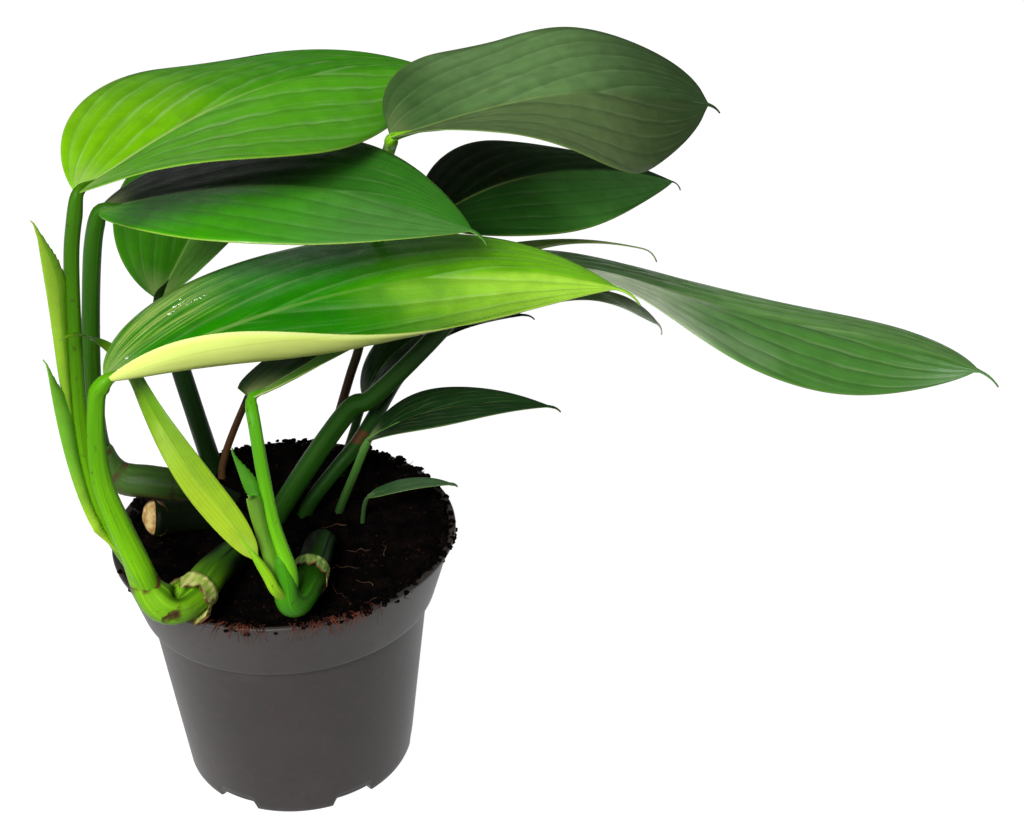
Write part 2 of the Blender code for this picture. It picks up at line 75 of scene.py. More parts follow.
# Steps and thickness of the CAD's blades and tubes, which place the finer ones here
CAD_BLADE_ROWS = 14
CAD_HALF_COLUMNS = 3
CAD_BLADE_THICKNESS = 1.0 * MM
CAD_NARROW_THICKNESS = 0.7 * MM
CAD_TUBE_STEP = 9.0
CAD_STEM_SIDES = 12
CAD_STALK_SIDES = 8

# Blades
FOOT_HALF_WIDTH = 1.2 * MM
TAIL_HALF_WIDTH = 0.7 * MM
TAIL_POINT_HALF_WIDTH = 0.25 * MM
TAIL_START = 0.95
TAIL_DROOP = 45.0
SOFTNESS = 0.09  # the angles change smoothly over this share of a blade's length
YOUNG_SOFTNESS = 0.03
LEAF_THICKNESS = 0.5 * MM
LEAF_EDGE_THICKNESS = 0.28 * MM
RIB_DEPTH = 0.9 * MM
RIB_HALF_WIDTH = 1.3 * MM
VEIN_COUNT = 3.3
VEIN_REACH = 1.3  # how far towards the tip a vein has run when it meets the margin
VEIN_BEND = 1.1
VEIN_RELIEF = 1.1 * MM
LARGE_BLADE_WIDTH = 40
LARGE_BLADE_STEPS = (110, 14)  # rows, and columns on each half
SMALL_BLADE_STEPS = (80, 8)
YOUNG_BLADE_STEPS = (110, 7)

# Sheaths
SHEATH_ROWS = 60
SHEATH_TAPER_ROWS = 26
SHEATH_COLUMNS = 13
SHEATH_BULGE = 0.9 * MM
SHEATH_INSET = 0.85  # where a sheath leaves its stalk, as a share of the stalk's radius

# Stalks and stems
STALK_STEP = 1.5
STALK_SIDES = 20
STALK_GROOVE = 0.1
STEM_SIDES = 36
STEM_ROUNDING = 3 * MM
ROOT_REACH = 11  # how far a stalk's foot is carried on into its stem
# Past the foot of its blade, a stalk runs on along the midrib: (length, drop, share of its radius)
JOINT = ((0.8, 0.0, 0.72), (7.0, 0.6, 0.36))
JOINT_END = (14.0, 1.6)
JOINT_END_RADIUS = 0.25

# Collars, the cut face of the stub and water drops
COLLAR_SIDES = 48
COLLAR_STEPS = 6
COLLAR_THICKNESS = 0.55 * MM
CALLUS_SIDES = 40
CALLUS_RINGS = 9
CALLUS_RISE = 2.2 * MM
DROP_SIDES = 14
DROP_RINGS = 5
DROP_HEIGHT = 0.55  # as a share of the drop's radius
DROP_COUNT = 14

# Pot
RIM_RADIUS = (pot_high.x - pot_low.x) / 2
POT_HEIGHT = pot_high.z
BASE_RADIUS = RIM_RADIUS * 0.695
BAND_RADIUS = RIM_RADIUS * 0.875
BAND_BOTTOM = POT_HEIGHT * 0.738
POT_SIDES = 180
WALL = 1.2 * MM
FLOOR_GROOVE = 3.0 * MM
POT_WOBBLE = 0.25 * MM
NOTCH_COUNT = 6
NOTCH_FIRST_ANGLE = -117.0
NOTCH_HALF_WIDTH = 8.0 * MM
NOTCH_HEIGHT = 4.0 * MM
NOTCH_SLOPE = 1.2 * MM

# Soil, crumbs and fibres
SOIL_EDGE_HEIGHT = 92.0 * MM
SOIL_MOUND = 3.0 * MM
SOIL_RINGS = 70
SOIL_SIDES = 200
CRUMB_COUNT = 1700
RIM_CRUMB_COUNT = 800
COIR_CRUMB_COUNT = 60
COIR_COUNT = 34
COIR_ANGLES = (-97.0, -72.0, -60.0)  # where fibres hang over the front of the rim
STANDING_COUNT = 46
ROOT_COUNT = 11
ROOT_POINTS = 7

# Stage and camera
FLOOR_HALF_SIZE = 3.0
DOME_RADIUS = 2.9
DOME_SIDES = 48
DOME_RINGS = 16
WORLD_STRENGTH = 0.1
CAMERA_ELEVATION = 29.5
CAMERA_LENS = 56.25
CAMERA_DISTANCE = 0.5931
CAMERA_SIDE = -0.0078
CAMERA_RISE = -0.0170

BLADES = {
    "top_left": dict(
        base=(-43, -47.5, 239), length=152, width=73, shape=(0.7, 0.96),
        pitch=(15, 11, -8, -18), heading=(55, 47, 42, 41), roll=(0, 10, 14, 26),
        fold_left=(22, -9, -4), curl_left=(0, -15, -10),
        fold_right=(21, -3, -22), curl_right=(-2, -14, -19),
    ),
    "middle_left": dict(
        base=(-51, 2, 214), length=130, width=64, shape=(0.58, 0.9),
        pitch=(14, 9, -5, -21), heading=(3, -10, -17, -16), roll=(0, 11, 18, 15),
        fold_left=(8, 2, 5), curl_left=(-9, -11, -8),
        fold_right=(9, 6, 0), curl_right=(-8, -9, -9),
    ),
    "top_right": dict(
        base=(42, 7, 236), length=120, width=71, shape=(0.4, 0.57),
        pitch=(14, 8, -15, -12), heading=(18, 18, 35, 4), roll=(19, 17, 44, 43),
        fold_left=(14, -7, -4), curl_left=(-2, -13, -11),
        fold_right=(38, 8, -5), curl_right=(9, -7, -13),
    ),
    "middle_right": dict(
        base=(51, 51, 190), length=119, width=65, shape=(0.58, 0.94),
        pitch=(25, -1, -15, -26), heading=(31, 34, 36, 30), roll=(10, 14, 8, 10),
        fold_left=(2, -1, 1), curl_left=(-12, -13, -9),
        fold_right=(4, -1, 2), curl_right=(-11, -12, -8),
    ),
    "front": dict(
        base=(-38.5, -60, 186), length=178, width=78, shape=(0.7, 1.09),
        pitch=(9, 3, 4, -18), heading=(42, 32, 5, -11), roll=(8, 22, 22, 21),
        fold_left=(-3, -13, -10, -4), curl_left=(-14, -18, -15, -11),
        fold_right=(-32, -48, -32, -15), curl_right=(180, 151, 80, -3),
    ),
    "back_left": dict(
        base=(-47, 50, 160), length=134, width=66, shape=(0.6, 1.0),
        pitch=(33, 19, 5, -6), heading=(69, 73, 72, 69), roll=(0, 0, 0, 0),
        fold_left=(26, 16, 8), curl_left=(0, -4, -6),
        fold_right=(30, 20, 10), curl_right=(2, -2, -5),
    ),
    "long_right": dict(
        base=(76, 20, 188), length=182, width=71, shape=(0.67, 0.82),
        pitch=(-10, -20, -7, -5), heading=(28, -1, -9, -39), roll=(-6, -5, 9, 33),
        fold_left=(5, -9, -25), curl_left=(-9, -14, -20),
        fold_right=(15, 2, -16), curl_right=(-4, -11, -19),
    ),
    "low_right": dict(
        base=(59, 22, 166), length=82, width=33, shape=(0.5, 0.86),
        pitch=(24, 10, -15, -56), heading=(5, 8, 5, 0), roll=(3, 0, -8, 5),
        fold_left=(2, -8, 3), curl_left=(-14, -17, -9),
        fold_right=(8, 12, -4), curl_right=(-9, -6, -13),
    ),
    "shaded_right": dict(
        base=(26, 40, 125), length=76, width=26, shape=(0.5, 1.0),
        pitch=(70, 35, 5, -10), heading=(15, 15, 10, 5), roll=(8, 5, 0, 0),
        fold_left=(10, 8, 4), curl_left=(-10, -10, -8),
        fold_right=(15, 8, 4), curl_right=(-8, -8, -8),
    ),
    "small_right": dict(
        base=(30, 10, 125), length=71, width=25, shape=(0.57, 1.1),
        pitch=(41, 16, 2, -15), heading=(0, 0, 0, 0), roll=(0, 8, 6, 6),
        fold_left=(11, 4, 1), curl_left=(-7, -10, -9),
        fold_right=(19, 8, 5), curl_right=(-4, -8, -8),
    ),
    "tiny_right": dict(
        base=(29, 6, 104), length=33, width=8, shape=(0.56, 0.94),
        pitch=(23, 17, 4, -14), heading=(0, 0, 0, 0), roll=(5, 5, 8, 12),
        fold_left=(10, 7, 7), curl_left=(-8, -9, -6),
        fold_right=(17, 14, 9), curl_right=(-5, -5, -5),
    ),
    "slender_centre": dict(
        base=(-1, -38, 168), length=195, width=29, shape=(0.28, 1.06),
        pitch=(3, 8, -4, -26), heading=(53, 51, 38, 28), roll=(-4, 3, -8, -13),
        fold_left=(-1, 9, 11), curl_left=(-2, -3, -5),
        fold_right=(12, 7, 6), curl_right=(31, 12, -4),
    ),
}

NARROW_BLADES = {
    "blade_young": dict(
        base=(0.5, -61, 124), length=113, width=10.5, shape=(0.5, 1.6),
        pitch=(63, 58, 55, 58, 53, 38, 33, 51, 28, 34, 21),
        heading=(173, 171, 169, 162, 146, 129, 123, 176, 288, 267, 222),
        roll=(-70, -65, -60, -60, -60, -60, -40, -20),
        fold_left=(10, 8, 4), curl_left=(-5, -8, -5),
        fold_right=(10, 8, 4), curl_right=(-5, -8, -5),
    ),
    "sheath_upper_left": dict(
        base=(-52.8, -57.5, 177.5), length=58, width=6.5, shape=(0.5, 0.9),
        pitch=(97, 90, 84, 80), heading=(180, 180), roll=(-90, -90),
        fold_left=(-20, -20), curl_left=(0, 0),
        fold_right=(-5, -5), curl_right=(0, 0),
    ),
    "sheath_lower_left": dict(
        base=(-48, -63.5, 134), length=60, width=7, shape=(0.5, 0.8),
        pitch=(76, 80, 83, 84), heading=(180, 170), roll=(-90, -90),
        fold_left=(-25, -25), curl_left=(-20, -20),
        fold_right=(-5, -5), curl_right=(0, 0),
    ),
    "sheath_centre": dict(
        base=(5.5, -58.5, 112.7), length=33, width=5.2, shape=(0.1, 0.1),
        pitch=(78, 79, 80, 82), heading=(180, 180), roll=(-90, -90),
        fold_left=(-20, -20), curl_left=(-20, -20),
        fold_right=(-10, -10), curl_right=(0, 0),
    ),
    "sheath_centre_inner": dict(
        base=(-0.7, -54, 142), length=18, width=4.4, shape=(0.15, 0.3),
        pitch=(76, 78, 74, 66), heading=(180, 180), roll=(-90, -90),
        fold_left=(-15, -15), curl_left=(0, 0),
        fold_right=(-15, -15), curl_right=(0, 0),
    ),
}

STALKS = {
    "top_left": dict(
        points=[(-41.5, -55, 119.5), (-44, -55.5, 128), (-48, -55, 141.5), (-50, -53.5, 165),
                (-49, -51.5, 190), (-47, -48.5, 218), (-43.5, -47.5, 237)],
        radii=(3.0, 2.8, 2.6, 2.4, 2.3, 2.25, 2.2),
    ),
    "middle_left": dict(
        points=[(-63, 19, 114), (-65, 17, 128), (-64, 12.5, 150), (-60, 8, 175), (-55.5, 4, 198),
                (-51.5, 2.2, 213)],
        radii=(4.0, 3.5, 3.2, 3.0, 2.95, 2.7),
    ),
    "front": dict(
        points=[(-35.8, -61, 119.5), (-40.5, -60.5, 135), (-44, -60, 150), (-44, -60, 165),
                (-42, -60, 180), (-39.4, -60, 185)],
        radii=(3.9, 3.7, 3.3, 2.8, 2.55, 2.5),
    ),
    "back_left": dict(
        points=[(-28, 37, 84), (-33, 42, 98), (-42, 48, 135), (-46.8, 50, 158.8)],
        radii=(3.8, 3.7, 3.5, 3.0),
    ),
    "slender_centre": dict(
        points=[(9.2, -55.5, 116), (5, -52, 132), (2.5, -48, 148), (0.5, -43, 162), (-0.8, -38.8, 167.2)],
        radii=(2.3, 2.2, 2.1, 2.0, 1.9),
    ),
    "young": dict(
        points=[(5.9, -62.3, 112.6), (3.8, -62, 117.8), (1.1, -61.3, 123)],
        radii=(1.6, 1.6, 1.4),
    ),
    "long_right": dict(
        points=[(-7, 8, 84), (-2.5, 8.5, 97), (22, 11, 134.5), (31, 10, 141), (44, 10, 154),
                (56.5, 10, 168), (75.2, 19.5, 187)],
        radii=(3.8, 3.8, 3.6, 3.2, 3.1, 3.0, 2.7),
    ),
    "low_right": dict(
        points=[(3, 12, 84), (7, 14, 95.5), (17, 18, 108), (26.5, 22, 119), (39, 24, 141),
                (49.5, 24, 153), (58.2, 22, 165.2)],
        radii=(2.8, 2.8, 2.7, 3.0, 2.6, 2.5, 2.2),
    ),
    "top_right": dict(
        points=[(18, 18.5, 127), (23.5, 20, 144.5), (27.5, 23, 157), (30, 28, 177), (32, 30, 196),
                (36.5, 25, 214), (40, 19, 226.5), (41.7, 13.5, 232.4), (42, 8.5, 234.4)],
        radii=(1.6, 1.6, 1.6, 1.7, 1.8, 2.0, 2.1, 2.1, 2.1),
    ),
    "middle_right": dict(
        points=[(-22, 30, 84), (-28, 36, 96), (-19, 43, 119.5), (-12, 46, 130), (14, 52, 160),
                (50, 51.5, 188.8)],
        radii=(1.5, 1.4, 1.3, 1.3, 1.5, 1.9),
    ),
    "shaded_right": dict(
        points=[(15, 38, 84), (18, 38, 100), (22, 39, 113), (25.6, 40, 124)],
        radii=(1.8, 1.7, 1.6, 1.5),
    ),
    "small_right": dict(
        points=[(15.5, 15, 84), (18.3, 14, 94.6), (25.5, 12, 113.5), (29.4, 10.3, 123.8)],
        radii=(1.8, 1.6, 1.5, 1.4),
    ),
    "tiny_right": dict(
        points=[(26, 8, 86), (27, 7.5, 96), (28.4, 6.3, 103)],
        radii=(0.9, 0.8, 0.8),
    ),
}

STEMS = {
    "back_left": dict(
        points=[(-22, 24, 88), (-36, 21, 98), (-50, 19, 102), (-62, 19, 103)],
        radii=(5.5, 5.8, 6.0, 6.2),
    ),
    "cut_stub": dict(
        points=[(-14, 10, 86), (-24, 7, 95), (-36, 1, 99), (-45, -3, 101)],
        radii=(5.3, 5.5, 5.6, 6.4),
    ),
    "front_left": dict(
        points=[(-9, -9, 86), (-13, -18, 97), (-18, -38, 103), (-21.5, -50, 103.5),
                (-28, -57, 103), (-35, -59, 105.5), (-39.5, -59, 111.5)],
        radii=(5.5, 5.5, 5.6, 6.0, 6.8, 7.0, 6.8),
    ),
    "front_right": dict(
        points=[(14, -4, 86), (14, -12, 96), (14, -30, 102), (13, -46, 103.5), (9.5, -55, 104),
                (6.5, -57, 108.5)],
        radii=(5.3, 5.3, 5.4, 5.6, 6.0, 5.8),
    ),
}

# The four colours of a blade's upper side, from its foot to its tip on each half, then its underside. Some of
# them are painted shadow, painted shade and painted sheen, as noted at each
LEAF_COLOURS = {
    "top_left": ((124, 194, 2), (66, 154, 6), (90, 160, 34), (88, 176, 20), (150, 190, 90)),
    # middle_left: the near-black foot of the left half is painted shadow of the top_left blade
    "middle_left": ((8, 32, 2), (56, 126, 34), (64, 164, 2), (78, 138, 58), (110, 150, 80)),
    # top_right: the darker foot of the left half is painted shade
    "top_right": ((60, 94, 44), (104, 142, 82), (96, 124, 70), (100, 126, 72), (120, 150, 90)),
    # middle_right: the dark left half is painted shadow of the top_right blade
    "middle_right": ((8, 18, 4), (26, 60, 18), (26, 70, 16), (86, 160, 64), (100, 130, 80)),
    "front": ((38, 142, 2), (124, 198, 22), (32, 128, 2), (172, 226, 64), (234, 250, 130)),
    "back_left": ((52, 122, 6), (46, 114, 20), (92, 152, 54), (92, 148, 58), (110, 150, 70)),
    # long_right: the near-white foot of the right half is painted sheen
    "long_right": ((72, 112, 56), (116, 176, 84), (222, 240, 200), (86, 150, 60), (120, 150, 100)),
    # low_right: the near-white upper side is painted sheen
    "low_right": ((214, 228, 200), (222, 234, 212), (212, 226, 198), (220, 232, 208), (70, 94, 60)),
    "shaded_right": ((14, 42, 10), (16, 46, 12), (14, 42, 10), (16, 46, 12), (30, 66, 24)),
    "small_right": ((16, 48, 14), (26, 62, 24), (14, 40, 12), (24, 56, 24), (50, 90, 44)),
    "tiny_right": ((44, 84, 40), (64, 96, 58), (54, 92, 48), (66, 100, 60), (56, 86, 50)),
    "slender_centre": ((30, 64, 22), (170, 214, 90), (100, 166, 30), (180, 220, 100), (196, 208, 176)),
    "blade_young": ((176, 210, 40), (108, 160, 8), (156, 196, 30), (92, 150, 8), (128, 184, 30)),
    "sheath_upper_left": ((130, 186, 16), (150, 196, 40), (120, 180, 14), (126, 184, 30), (150, 190, 60)),
    # sheath_lower_left: lightened, most at its foot, as painted light where it faces away from the lamps
    "sheath_lower_left": ((200, 236, 50), (120, 190, 40), (196, 232, 50), (110, 184, 36), (200, 230, 60)),
    "sheath_centre": ((96, 166, 20), (120, 176, 40), (84, 156, 16), (104, 166, 30), (120, 176, 50)),
    "sheath_centre_inner": ((64, 150, 16), (80, 160, 24), (56, 142, 14), (84, 166, 26), (140, 190, 80)),
}

# Colour of a stalk or stem at its foot and its top, and of the blush along one side.
STALK_COLOURS = {
    "top_left": ((96, 158, 6), (50, 100, 4), (70, 88, 14)),
    "middle_left": ((44, 88, 6), (42, 92, 8), (60, 46, 20)),
    "front": ((108, 176, 8), (84, 152, 6), (58, 108, 8)),
    "back_left": ((14, 36, 8), (16, 44, 8), (14, 30, 10)),
    "slender_centre": ((104, 180, 22), (76, 152, 18), (56, 124, 14)),
    "young": ((136, 190, 20), (128, 190, 30), (110, 160, 26)),
    "long_right": ((34, 76, 16), (34, 72, 18), (54, 66, 26)),
    "low_right": ((26, 62, 16), (28, 66, 18), (34, 52, 20)),
    "top_right": ((58, 40, 22), (116, 176, 30), (62, 44, 26)),
    "middle_right": ((84, 58, 34), (50, 70, 26), (110, 88, 54)),
    "shaded_right": ((40, 60, 24), (32, 74, 24), (50, 52, 26)),
    "small_right": ((40, 74, 30), (76, 124, 50), (50, 70, 34)),
    "tiny_right": ((50, 82, 40), (60, 92, 50), (60, 76, 40)),
}
STEM_COLOURS = {
    "back_left": ((14, 30, 10), (62, 94, 38), (84, 74, 42)),
    "cut_stub": ((5, 10, 4), (14, 24, 8), (20, 26, 10)),
    "front_left": ((7, 24, 4), (116, 176, 22), (44, 92, 10)),
    "front_right": ((5, 12, 3), (60, 136, 12), (30, 76, 10)),
}
# Brown scars: (place along the stem, half length of the patch, colour)
SCARS = {
    "stem_back_left": ((0.42, 0.02, (50, 46, 26)), (0.78, 0.03, (74, 66, 40)), (0.96, 0.02, (60, 48, 30))),
    "stem_front_left": ((0.6, 0.02, (66, 40, 20)), (0.72, 0.02, (84, 50, 26))),
    "stalk_low_right": ((0.4, 0.03, (84, 56, 34)),),
    "stalk_middle_right": ((0.3, 0.02, (60, 40, 26)),),
}
# How much of each blade's look is veins, midrib, gloss and grain, where it isn't as usual. Crease shade and
# end are painted shade, and streaks are painted gloss highlight
LEAF_LOOKS = {
    "top_left": dict(veins=0.35, gloss=0.42, shine=0.15, edge=0.5, crease_shade=0.2),
    "middle_left": dict(veins=0.1, turn=(0.3, 0.8), gloss=0.26, shine=0.2, rib_share=0.35, crease_shade=0.2,
                        edge=0.6, foot_share=0.3),
    "top_right": dict(veins=0.1, gloss=0.5, turn=(0.05, 0.35), end=0.8, rib_share=0.3, foot_share=0.15,
                      grain=0.4),
    "middle_right": dict(veins=0.06, turn=(0.2, 0.75), gloss=0.5, shine=0.06, rib_share=0.25,
                         foot_share=0.1),
    "front": dict(veins=0.25, gloss=0.24, shine=0.25, turn=(0.42, 0.9), rib_share=0.35, crease_shade=0.25,
                  edge=0.8, streaks=0.7),
    "back_left": dict(veins=0.1, gloss=0.42, shine=0.15, rib_share=0.4, crease_shade=0.2),
    "long_right": dict(veins=0.3, gloss=0.34, shine=0.4, turn=(0.22, 0.55), end=0.3, rib_share=0.4,
                       foot_share=0.6),
    "low_right": dict(veins=0.4, gloss=0.36, shine=0.4, rib_share=0.3),
    "shaded_right": dict(veins=0.05, shine=0.08, foot_share=0.1),
    "small_right": dict(veins=0.15, gloss=0.4, shine=0.1, rib_share=0.3),
    "tiny_right": dict(veins=0.1, gloss=0.4),
    "slender_centre": dict(veins=0.15, turn=(0.5, 0.8), gloss=0.4, shine=0.12, edge=0.6),
    "blade_young": dict(veins=0.04, crease_shade=0.2, foot_share=0.2, rib_share=0.3),
}
SHEATH_LOOK = dict(veins=0.12, crease_shade=0.1)
# Height of the vein relief, as a share of VEIN_RELIEF
RELIEF = {"middle_left": 0.3, "front": 0.6, "back_left": 0.5, "middle_right": 0.6, "top_right": 0.8}
# What a stalk grows from, if not the soil, and how much wider it gets at its foot
STALK_ROOTS = {
    "top_left": ("front_left", 0.0),
    "middle_left": ("back_left", 0.25),
    "front": ("front_left", 0.0),
    "slender_centre": ("front_right", 0.4),
    "young": ("front_right", 0.2),
}
# Where a stem's or stalk's foot colour changes to its top colour, as shares of its length
USUAL_TURN = (0.1, 0.85)
STEM_TURNS = {"front_left": (0.3, 0.6), "front_right": (0.4, 0.85)}
# Where a tube's ends run more closely than in CAD: the first and last of the CAD's points that stay,
# and the points and radii that come before and after them
FINER_ENDS = {
    "stem_front_left": (0, 3, (), (
        ((-27, -57, 103), 6.3), ((-31, -59.5, 105), 5.8), ((-34.5, -59.5, 110), 5.0),
        ((-37, -58.5, 118), 4.3), ((-40, -57, 128), 3.4), ((-44, -56, 140), 2.0),
    )),
    "stem_front_right": (0, 2, (), (
        ((13, -45, 102.5), 5.3), ((10.5, -54, 102), 4.9), ((8.6, -57.5, 106), 4.2), ((8.3, -57, 113), 3.2),
        ((6.5, -54.5, 122), 2.0),
    )),
    "stem_back_left": (0, 2, (), (
        ((-59, 19, 103.5), 6.0), ((-64, 18.5, 109), 4.8), ((-66, 18, 119), 3.3),
    )),
    "stalk_top_left": (1, 6, (((-39.8, -56, 118), 2.4),), ()),
    "stalk_middle_left": (2, 5, (((-66, 19, 112), 3.3), ((-66.2, 17, 128), 3.2)), ()),
}
# Stretch of a stem whose upper side is hollow, where an old leaf has come away
TROUGHS = {"front_left": (0.5, 0.74)}
# The stalk that each sheath is a wing of, how far its free edge is pulled in at its foot and tip, the
# length of its taper down the stalk, and the share of its length from which it leaves the stalk
SHEATHS = {
    "sheath_upper_left": ("top_left", (1.2 * MM, 2.4 * MM), 38 * MM, 0.6),
    "sheath_lower_left": ("top_left", (1.6 * MM, 3.6 * MM), 12 * MM, 0.6),
    "sheath_centre": ("slender_centre", (0.4 * MM, 0.6 * MM), 3 * MM, 0.85),
    "sheath_centre_inner": ("slender_centre", (0.8 * MM, 1.0 * MM), 14 * MM, 0.0),
}


# ---------------------------------------------------------------- materials


def screen_colour(*shade):
    """The linear colour that a screen shows as these three numbers."""
    parts = [value / 255 for value in shade]
    return [part / 12.92 if part <= 0.04045 else ((part + 0.055) / 1.055) ** 2.4 for part in parts] + [1.0]


class Field:
    """A value that varies over a surface: an output of a material's node. Sums and products make nodes."""

    def __init__(self, paint, socket):
        self.paint = paint
        self.socket = socket

    def __add__(self, other):
        return self.paint.math("ADD", self, other)

    def __sub__(self, other):
        return self.paint.math("SUBTRACT", self, other)

    def __mul__(self, other):
        return self.paint.math("MULTIPLY", self, other)

    def __abs__(self):
        return self.paint.math("ABSOLUTE", self)

    def fade(self, start, end):
        """0 before start and 1 after end, with a smooth change between them. Start may be the larger."""
        inputs = {"Value": self, "From Min": start, "From Max": end}
        return self.paint.node("MapRange", inputs, interpolation_type="SMOOTHSTEP")


class Paint:
    """One material, built from short calls that make a node each and pass fields on to each other."""

    def __init__(self, name):
        self.material = bpy.data.materials.new(name)
        self.material.use_nodes = True
        self.tree = self.material.node_tree
        self.surface = self.tree.nodes["Principled BSDF"]

    def put(self, socket, value):
        if isinstance(value, Field):
            self.tree.links.new(value.socket, socket)
        elif isinstance(value, tuple) and len(value) == 3:
            socket.default_value = screen_colour(*value)
        else:
            socket.default_value = value

    def node(self, kind, inputs, output=0, **settings):
        node = self.tree.nodes.new("ShaderNode" + kind)
        for name, value in settings.items():
            setattr(node, name, value)
        for name, value in inputs.items():
            self.put(node.inputs[name], value)
        return Field(self, node.outputs[output])

    def math(self, operation, first, second=0.0):
        return self.node("Math", {0: first, 1: second}, operation=operation)

    def blend(self, share, first, second, how="MIX"):
        return self.node("Mix", {0: share, 6: first, 7: second}, 2, data_type="RGBA", blend_type=how)

    def growth(self):
        """The place along the piece, and the place across it or round it."""
        place = self.node("UVMap", {}, uv_map=GROWTH_MAP)
        return [self.node("SeparateXYZ", {0: place}, axis) for axis in (0, 1)]

    def noise(self, scale, detail=3.0, where=None):
        place = where or self.node("TexCoord", {}, "Object")
        return self.node("TexNoise", {"Vector": place, "Scale": scale, "Detail": detail})

    def stretched_noise(self, detail, x, y):
        return self.noise(1.0, detail, self.node("CombineXYZ", {0: x, 1: y}))

    def cells(self, scale):
        place = self.node("TexCoord", {}, "Object")
        return self.node("TexVoronoi", {"Vector": place, "Scale": scale}, "Distance")

    def bump(self, height, strength, distance):
        inputs = {"Height": height, "Strength": strength, "Distance": distance}
        self.put(self.surface.inputs["Normal"], self.node("Bump", inputs))

    def finish(self, base, roughness, **constants):
        self.put(self.surface.inputs["Base Color"], base)
        self.put(self.surface.inputs["Roughness"], roughness)
        for name, value in constants.items():
            self.put(self.surface.inputs[name.replace("_", " ")], value)
        return self.material


DARK_GREEN = (0.006, 0.022, 0.004, 1.0)
PALE_GREEN = (0.62, 0.74, 0.42, 1.0)
LIGHT_THROUGH = (0.35, 0.75, 0.05, 1.0)
LIGHT_THROUGH_SHARE = 0.12


def finish_leaf(paint, base, roughness, shine):
    """Leaves let part of the light that falls on them out on their other side."""
    material = paint.finish(base, roughness, Specular_IOR_Level=shine)
    surface = Field(paint, paint.surface.outputs[0])
    through = paint.node("BsdfTranslucent", {"Color": paint.blend(0.5, base, LIGHT_THROUGH)})
    mixed = paint.node("MixShader", {0: LIGHT_THROUGH_SHARE, 1: surface, 2: through})
    paint.put(paint.tree.nodes["Material Output"].inputs["Surface"], mixed)
    return material


def vein_turns(along, off_middle):
    """The vein relief's phase: a whole number on each vein."""
    bent = along.paint.math("POWER", off_middle, VEIN_BEND)
    return (along - bent * VEIN_REACH) * VEIN_COUNT


def leaf_top(name, colours, gloss=0.36, shine=0.25, turn=(0.08, 0.6), end=0.0, veins=0.2, rib_share=0.7,
             foot_share=0.4, edge=0.2, grain=0.3, crease_shade=0.3, streaks=0.0):
    """The upper side: two colours on each half, veins, a pale midrib, a thin pale margin and specks.

    Turn is where the foot's colours change to the tip's, end darkens the last third as painted shade, and
    streaks are pale lines of painted gloss highlight along the foot of the left half.
    """
    paint = Paint(name + "_top")
    along, across = paint.growth()
    side = (across - 0.5) * 2.0
    off_middle = abs(side)
    left_foot, left_tip, right_foot, right_tip = colours[:4]
    wandering = along + (paint.noise(28.0) - 0.5) * 0.4
    to_tip = wandering.fade(*turn)
    left = paint.blend(to_tip, left_foot, left_tip)
    right = paint.blend(to_tip, right_foot, right_tip)
    base = paint.blend(side.fade(-0.06, 0.06), right, left)
    # Painted shade: end darkens the last third of the blade towards dark green
    base = paint.blend(along.fade(0.5, 0.9) * end, base, DARK_GREEN)

    turns = vein_turns(along, off_middle)
    share = paint.math("FRACT", turns)
    pale_vein_and_highlight = paint.math("MAXIMUM", share.fade(0.2, 0.0), share.fade(0.94, 1.0))
    crease_shade_mask = share.fade(0.55, 0.9) * share.fade(1.0, 0.94)
    patchy = paint.stretched_noise(2.0, along * 5.0, turns).fade(0.3, 0.7)
    fibre = paint.stretched_noise(4.0, along * 4.0, turns * 7.0)
    pale = paint.blend(0.45, base, PALE_GREEN)
    dark = paint.blend(0.75, base, DARK_GREEN)
    # Painted shade on the slope before each vein, and at each vein a pale band that is partly the vein's own
    # paler colour and partly painted highlight
    base = paint.blend(crease_shade_mask * crease_shade, base, dark)
    base = paint.blend(pale_vein_and_highlight * off_middle.fade(0.99, 0.8) * patchy * (veins * 1.6), base, pale)
    base = paint.blend(fibre.fade(0.5, 0.8) * veins, base, pale)
    if streaks:
        # Painted highlight: pale streaks of gloss along the foot of the left half
        painted_gloss_streak = wandering.fade(0.36, 0.2) * side.fade(0.12, 0.45) * fibre.fade(0.38, 0.66)
        base = paint.blend(painted_gloss_streak * streaks, base, (206, 240, 110))

    mottle = paint.noise(170.0, 5.0).fade(0.35, 0.7)
    base = paint.blend(mottle * grain, base, paint.blend(0.5, base, DARK_GREEN))
    ruddy = paint.noise(300.0, 4.0).fade(0.56, 0.7)
    base = paint.blend(ruddy * (grain * 0.6), base, paint.blend(0.3, base, (120, 110, 60)))
    rib = off_middle.fade(along * -0.02 + 0.032, 0.006) * along.fade(0.75, 0.05)
    base = paint.blend(rib * rib_share, base, (178, 206, 116))
    foot = along.fade(0.1, 0.0) * off_middle.fade(0.9, 0.2)
    base = paint.blend(foot * foot_share, base, (190, 206, 130))
    base = paint.blend(off_middle.fade(0.97, 0.995) * edge, base, (170, 200, 80))
    specks = paint.cells(95.0).fade(0.055, 0.03) * paint.noise(42.0).fade(0.56, 0.62)
    base = paint.blend(specks * 0.6, base, (70, 52, 22))
    paint.bump(paint.noise(900.0, 4.0) + fibre * 1.6, 0.35, 0.00018)
    return finish_leaf(paint, base, mottle * 0.12 + gloss, shine)


